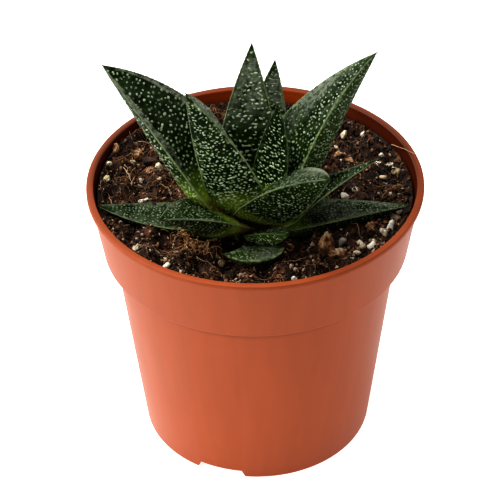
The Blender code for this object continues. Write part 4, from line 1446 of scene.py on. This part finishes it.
def add_bits(name, faces, local, turns, centres, tone, finish, smooth=True):
    """Many bits as one piece: the faces are the same for each, and its own points are turned and moved."""
    points = np.einsum("nij,nvj->nvi", turns, local) + centres[:, None]
    faces = repeated(faces, *local.shape[:2])
    mesh = make_mesh(name, points, [faces], {"tone": np.broadcast_to(tone, local.shape[:2])})
    return add_piece(name, mesh, bits_finish(finish), smooth=smooth)


def leaf_tree():
    """A search tree of the leaves' faces."""
    points, faces = [], []
    for leaf in LEAVES:
        mesh = bpy.data.objects[f"{leaf.name}_spotted_leaf"].data
        shift = len(points)
        points += [vert.co for vert in mesh.vertices]
        faces += [[index + shift for index in face.vertices] for face in mesh.polygons]
    return BVHTree.FromPolygons(points, faces)


def clear_of_leaves(tree, centres, room):
    """Which places are further from every leaf than their own room, and have no leaf just below them."""
    kept = []
    for centre, space in zip(centres, room):
        near = tree.find_nearest(centre, space)[0]
        below = tree.ray_cast(centre, (0, 0, -1), LEAF_CLEAR_DROP)[0]
        kept.append(near is None and below is None)
    return np.array(kept)


def random_disc(rng, count, radius):
    """Places spread evenly over a disc."""
    r = radius * np.sqrt(rng.random(count))
    turn = rng.uniform(0, 2 * np.pi, count)
    return r * np.cos(turn), r * np.sin(turn)


def warmth(x, y):
    """How tan the soil's bits are at a place: more to the left and in clouds, and more to the front, partly
    as painted light.
    """
    clouds = np.sin(260 * x + 1) * np.sin(210 * y + 2) + 0.6 * np.sin(480 * x + 330 * y)
    return np.clip(0.66 - 4.0 * x - 15.0 * y + 0.22 * clouds, 0.0, 1.4)


def make_crumbs(tree):
    """Loose crumbs and flakes of peat and bark on the soil: small dented balls in random turns."""
    rng = np.random.default_rng(CRUMB_SEED)
    count = settings().crumbs
    x, y = random_disc(rng, count, soil_reach(CRUMB_ROOM))
    size = np.minimum(rng.gamma(*CRUMB_GAMMA, count) + CRUMB_LEAST, CRUMB_MOST)
    shape = [rng.uniform(low, high, count) for low, high in CRUMB_SHAPE]
    halves = size[:, None] * np.stack(shape, -1)
    centres = np.stack([x, y, crumbled_top(x, y) + rng.uniform(0.1, 0.9, count) * size], -1)
    kept = clear_of_leaves(tree, centres, size)
    centres, halves = centres[kept], halves[kept]
    ball, faces = unit_ball(*CRUMB_BALL)
    turns = spins(rng, len(centres))
    dents = 1 + CRUMB_DENTS * rng.uniform(-1, 1, (len(centres), len(ball), 1))
    # Tanner and paler where warmth is high: partly the peat's own tan, partly painted light at the front
    tone = rng.random(len(centres)) ** 1.5 * (0.80 + 0.42 * warmth(centres[:, 0], centres[:, 1]))
    local = ball * dents * halves[:, None]
    return add_bits("peat_crumbs", faces, local, turns, centres, tone[:, None], "peat_crumb", smooth=False)


def lump_frames(lumps):
    """Centres, half sizes and turns of the listed lumps, sunk into the soil's top."""
    x, y = (np.array([getattr(lump, axis) for lump in lumps]) for axis in "xy")
    halves = np.array([lump.half for lump in lumps])
    z = SOIL_Z - soil_dip(x, y) + soil_bank(x, y) + halves[:, 2] * (1 - 2 * LUMP_SINK)
    turns = []
    for lump in lumps:
        lean = Matrix.Rotation(math.radians(lump.lean), 3, "X")
        turns.append(np.array(Matrix.Rotation(math.radians(lump.turn), 3, "Z") @ lean))
    return np.stack([x, y, z], -1), halves, np.array(turns)


def split_ball(ball, count, rng, cuts, nearest):
    """Balls with flat sides and layers, as split bark has.

    What bulges beyond each of some random planes is pressed onto the plane. nearest is the least distance of
    a plane from the middle of a ball of radius 1.
    """
    points = np.repeat(ball[None], count, 0)
    for _ in range(cuts):
        normal = rng.normal(size=(count, 1, 3))
        normal /= np.linalg.norm(normal, axis=-1, keepdims=True)
        beyond = (points * normal).sum(-1, keepdims=True) - rng.uniform(nearest, 0.85, (count, 1, 1))
        points = points - np.maximum(beyond, 0.0) * normal
    x, _, z = np.moveaxis(points, -1, 0)
    layers = np.sin(15 * x + 5 * z + 1.5 * np.sin(6 * z)) + rng.normal(0, 0.55, x.shape)
    return points * (1 + 0.065 * layers[..., None]), layers


def make_chips():
    """Bark chips: balls split flat on many sides and ridged by their layers, with painted light on top."""
    rng = np.random.default_rng(CHIP_SEED)
    ball, faces = unit_ball(*CHIP_BALL)
    centres, halves, turns = lump_frames(CHIPS)
    split, layers = split_ball(ball, len(CHIPS), rng, *CHIP_CUTS)
    # Paler towards their tops and darker at their feet: painted light and shade
    tone = np.array([lump.tone for lump in CHIPS])[:, None] + 0.11 * layers + 0.30 * (split[..., 2] - 0.2)
    return add_bits("bark_chips", faces, split * halves[:, None] / CHIP_LEFT, turns, centres, tone, "bark")


def make_perlite(tree):
    """Perlite: cream-white grains with flat sides, the listed ones and a strewing of small ones."""
    rng = np.random.default_rng(PERLITE_SEED)
    centres, halves, turns = lump_frames(PERLITE)
    count = PERLITE_STREWN
    x, y = random_disc(rng, count, soil_reach(PERLITE_ROOM))
    size = rng.gamma(*PERLITE_GAMMA, count) + PERLITE_LEAST
    halves = np.vstack([PERLITE_SWELL * halves, size[:, None] * rng.uniform(0.6, 1.4, (count, 3))])
    centres = np.vstack([centres, np.stack([x, y, crumbled_top(x, y) + 0.7 * size], -1)])
    turns = np.concatenate([turns, spins(rng, count)])
    tone = np.append([lump.tone for lump in PERLITE], rng.uniform(0.3, 1, count))
    kept = clear_of_leaves(tree, centres, halves.mean(1))
    ball, faces = unit_ball(*PERLITE_BALL)
    split, _ = split_ball(ball, kept.sum(), rng, *PERLITE_CUTS)
    local = split * halves[kept][:, None] / PERLITE_LEFT
    return add_bits("perlite_grains", faces, local, turns[kept], centres[kept], tone[kept, None], "perlite")


def add_tubes(name, path, radius, sides, tone, finish):
    """Closed round tubes as one piece, each a ring of points round every point of its path."""
    count, steps = path.shape[:2]
    along = np.gradient(path, axis=1)
    along /= np.linalg.norm(along, axis=-1, keepdims=True)
    side = np.cross(along, [0.0, 0.0, 1.0])
    side /= np.linalg.norm(side, axis=-1, keepdims=True)
    lift = np.cross(side, along)
    angle = 2 * np.pi * np.arange(sides) / sides
    ring = side[:, :, None] * np.cos(angle)[:, None] - lift[:, :, None] * np.sin(angle)[:, None]
    points = path[:, :, None] + ring * radius[:, :, None, None]
    stride = steps * sides
    ends = np.stack([np.arange(sides)[::-1], stride - sides + np.arange(sides)])
    faces = [repeated(grid_faces(steps, sides, True), count, stride), repeated(ends, count, stride)]
    mesh = make_mesh(name, points, faces, {"tone": np.repeat(tone, stride)})
    return add_piece(name, mesh, bits_finish(finish))


def make_fibres(tree):
    """Rootlets and coir: thin tubes along arcs that turn both ways, strewn over the soil and in one tuft."""
    rng = np.random.default_rng(FIBRE_SEED)
    loose = settings().fibres
    count = loose + TUFT_FIBRES
    x, y = random_disc(rng, loose, soil_reach(FIBRE_ROOM))
    # Where the soil is less tan, some on the right go over to the left
    x = np.where(rng.random(loose) < 0.35 + 0.65 * warmth(x, y), x, -np.abs(x))
    lean = math.radians(TUFT_TURN)
    s, w = rng.normal(0, TUFT_LONG, TUFT_FIBRES), rng.normal(0, TUFT_WIDE, TUFT_FIBRES)
    x = np.append(x, TUFT_X + s * math.cos(lean) - w * math.sin(lean))
    y = np.append(y, TUFT_Y + s * math.sin(lean) + w * math.cos(lean))
    turn = rng.uniform(0, 2 * np.pi, count)
    turn[loose:] = lean + rng.normal(0, 1.0, TUFT_FIBRES)
    length = rng.gamma(*FIBRE_GAMMA, count)[:, None] + FIBRE_LEAST
    length[loose:] *= TUFT_SHORTER
    s = np.linspace(0, 1, FIBRE_STEPS)
    bend = rng.normal(0, 1.5, (count, 1)) * s + rng.normal(0, 0.6, (count, 1)) * np.sin(2 * np.pi * s)
    step = length / (FIBRE_STEPS - 1)
    px = x[:, None] + np.cumsum(step * np.cos(turn[:, None] + bend), 1)
    py = y[:, None] + np.cumsum(step * np.sin(turn[:, None] + bend), 1)
    far = np.hypot(px, py) / soil_reach(FIBRE_REACH_ROOM)
    px, py = px / np.maximum(far, 1), py / np.maximum(far, 1)
    base = rng.uniform(0, FIBRE_HIGH, count)
    base[loose:] = rng.uniform(0, TUFT_HIGH, TUFT_FIBRES)
    arch = rng.uniform(0, FIBRE_ARCH, (count, 1)) * np.sin(np.pi * s) ** 2
    path = np.stack([px, py, soil_top(px, py) + FIBRE_LIFT + base[:, None] + arch], -1)
    thick = rng.uniform(*FIBRE_R, (count, 1))
    thick[loose:] *= TUFT_THICKER
    radius = thick * (0.35 + 0.65 * np.sin(np.pi * np.clip(s, 0.03, 0.97)) ** 0.4)
    kept = clear_of_leaves(tree, path[:, FIBRE_STEPS // 2], 0.4 * length[:, 0])
    tone = rng.uniform(0, 1, count)
    # The tuft's fibres are paler than the loose ones: partly their own tan, partly painted light where leaves
    # shade them
    tone[loose:] = 0.40 + 1.20 * rng.random(TUFT_FIBRES)
    return add_tubes("soil_fibres", path[kept], radius[kept], FIBRE_SIDES, tone[kept], "coir")


def make_roots():
    """The long roots: tubes along lines that bow sideways by half a sine, with a small wave."""
    starts, ends = (np.array([root[end] for root in ROOTS]) for end in (0, 1))
    s = np.linspace(0, 1, ROOT_STEPS)[:, None]
    way = ends - starts
    aside = np.stack([-way[:, 1], way[:, 0], 0 * way[:, 0]], -1)
    aside /= np.linalg.norm(aside, axis=-1, keepdims=True)
    bow = np.array([root[2] for root in ROOTS])[:, None, None]
    bend = bow * (np.sin(np.pi * s) + 0.25 * np.sin(5 * np.pi * s))
    path = starts[:, None] + way[:, None] * s + aside[:, None] * bend
    radius = ROOT_R * (1.0 - 0.6 * np.broadcast_to(s[:, 0], path.shape[:2]))
    return add_tubes("long_roots", path, radius, ROOT_SIDES, [root[3] for root in ROOTS], "root")


def make_stem():
    """The stem: a domed rod with a spiral of old leaf scars, a wave of its radius."""
    height = STEM_HIGH.z - STEM_LOW.z
    s = np.linspace(0, 1, STEM_ROWS)[:, None]
    dome = np.sqrt(np.clip(1 - np.maximum((s - 0.85) / 0.15, 0) ** 2, 0.02, 1))
    turn = 2 * np.pi * np.arange(STEM_SIDES) / STEM_SIDES
    scars = 0.03 * np.sin(2 * np.pi * (s * STEM_SCARS + turn / (2 * np.pi)))
    radius = STEM_R * (dome * np.minimum(1, 0.6 + 8 * s)) * (0.96 + scars)
    x, y = PLANT_X + radius * np.cos(turn), PLANT_Y + radius * np.sin(turn)
    grid = np.stack([x, y, STEM_LOW.z + height * s + 0 * turn], -1)
    points, faces = capped(grid, *[(PLANT_X, PLANT_Y, z) for z in (STEM_LOW.z, STEM_HIGH.z)])
    mesh = make_mesh("scarred_stem", points, faces)
    made = Finish("stem_skin")
    fine = made.noise(0.0008)
    colour = made.mix(STEM_BROWN, STEM_GREEN, fine.ramp(0.3, 0.7))
    finish = made.done(colour, 0.5 + 0.2 * fine, made.relief(fine, 0.0001))
    return add_piece("scarred_stem", mesh, finish, ("stem",))


def make_camera():
    """The photograph's camera: it looks down at the target, then turns a little on each of its axes."""
    down = math.radians(CAMERA_DOWN)
    ahead, right = Vector((0.0, math.cos(down), -math.sin(down))), Vector((1.0, 0.0, 0.0))
    place = CAMERA_TARGET - ahead * CAMERA_AWAY
    axes = [ahead, right, right.cross(ahead)]
    for a, b, degrees in ((0, 1, CAMERA_YAW), (0, 2, CAMERA_PITCH), (1, 2, CAMERA_ROLL)):
        cos, sin = math.cos(math.radians(degrees)), math.sin(math.radians(degrees))
        axes[a], axes[b] = axes[a] * cos + axes[b] * sin, axes[b] * cos - axes[a] * sin
    ahead, right, up = axes
    data = bpy.data.cameras.new("studio_camera")
    data.sensor_width = SENSOR_W
    data.lens = LENS
    camera = add_object("studio_camera", data)
    camera.matrix_world = Matrix.Translation(place) @ Matrix((right, up, -ahead)).transposed().to_4x4()
    bpy.context.scene.camera = camera


def make_light(name, place, size, power):
    """A soft light, a rectangle that faces the plant."""
    data = bpy.data.lights.new(name, "AREA")
    data.shape = "RECTANGLE"
    data.size, data.size_y = size
    data.energy = power
    way = CAMERA_TARGET - Vector(place)
    lamp = add_object(name, data)
    lamp.matrix_world = Matrix.Translation(place) @ way.to_track_quat("-Z", "Y").to_matrix().to_4x4()


def make_floor():
    """A wide pale floor that glows round the pot. It isn't part of the object."""
    height = CAD_BOX[0][2] - FLOOR_DROP
    ways = ((-1, -1), (1, -1), (1, 1), (-1, 1))
    corner = np.array([(x * FLOOR_HALF, y * FLOOR_HALF, height) for x, y in ways])
    mesh = make_mesh("studio_floor", corner, [np.array([[0, 1, 2, 3]])])
    made = Finish("pale_floor")
    glow = made.length(made.place).ramp(*FLOOR_GLOW_R) * FLOOR_GLOW
    made.feed(made.shader, {"Emission Color": (1.0, 1.0, 1.0), "Emission Strength": glow})
    mesh.materials.append(made.done(made.mix(*FLOOR_COLOURS, made.noise(0.4, 2.0)), 0.9))
    floor = add_object("studio_floor", mesh)


def make_studio():
    """The floor, the camera, a large soft light above, and weaker ones to the left and to the right."""
    make_floor()
    make_camera()
    for name, place, size, share in LIGHTS:
        make_light(name, place, size, share * settings().light_power)
    scene = bpy.context.scene
    scene.view_settings.view_transform = "Standard"
    scene.view_settings.look = "High Contrast"
    world = bpy.data.worlds.new("studio_world")
    world.use_nodes = True
    world.node_tree.nodes["Background"].inputs["Color"].default_value = (1.0, 1.0, 1.0, 1.0)
    world.node_tree.nodes["Background"].inputs["Strength"].default_value = WORLD_LIGHT
    scene.world = world


class GASTERIA_OT_studio(bpy.types.Operator):
    """Sets up the floor, the camera and the soft lights"""

    bl_idname = "gasteria.studio"
    bl_label = "Studio"

    def execute(self, context):
        make_studio()
        return {"FINISHED"}


class GASTERIA_OT_pot(bpy.types.Operator):
    """Turns the plastic pot, with its lip, collar, drain holes and notched foot"""

    bl_idname = "gasteria.pot"
    bl_label = "Pot"

    def execute(self, context):
        make_pot()
        return {"FINISHED"}


class GASTERIA_OT_soil(bpy.types.Operator):
    """Fills the pot with peat, and strews crumbs, bark, perlite and fibres over it"""

    bl_idname = "gasteria.soil"
    bl_label = "Peat"

    def execute(self, context):
        tree = leaf_tree()
        make_soil()
        make_crumbs(tree)
        make_chips()
        make_perlite(tree)
        make_fibres(tree)
        make_roots()
        return {"FINISHED"}


class GASTERIA_OT_stem(bpy.types.Operator):
    """Raises the short stem that the leaves grow from"""

    bl_idname = "gasteria.stem"
    bl_label = "Stem"

    def execute(self, context):
        make_stem()
        return {"FINISHED"}


class GASTERIA_OT_leaves(bpy.types.Operator):
    """Grows the spotted leaves of the rosette"""

    bl_idname = "gasteria.leaves"
    bl_label = "Leaves"

    def execute(self, context):
        for number, leaf in enumerate(LEAVES):
            make_leaf(leaf, number)
        return {"FINISHED"}


OPERATORS = (GASTERIA_OT_studio, GASTERIA_OT_pot, GASTERIA_OT_soil, GASTERIA_OT_stem, GASTERIA_OT_leaves)


class GASTERIA_PT_panel(bpy.types.Panel):
    """Lists the settings and the pieces"""

    bl_label = "Potted gasteria"
    bl_space_type = "VIEW_3D"
    bl_region_type = "UI"
    bl_category = "Gasteria"

    def draw(self, context):
        for key in GasteriaSettings.__annotations__:
            self.layout.prop(context.scene.gasteria, key)
        for operator in OPERATORS:
            self.layout.operator(operator.bl_idname)


CLASSES = (GasteriaSettings, *OPERATORS, GASTERIA_PT_panel)


def register():
    """Makes the settings, operators and panel known to Blender."""
    for kind in CLASSES:
        bpy.utils.register_class(kind)
    bpy.types.Scene.gasteria = PointerProperty(type=GasteriaSettings)


def unregister():
    """Takes them away again."""
    del bpy.types.Scene.gasteria
    for kind in reversed(CLASSES):
        bpy.utils.unregister_class(kind)


def main():
    """Builds everything."""
    register()
    bpy.ops.gasteria.studio()
    bpy.ops.gasteria.pot()
    bpy.ops.gasteria.stem()
    bpy.ops.gasteria.leaves()
    bpy.ops.gasteria.soil()


if __name__ == "__main__":
    main()
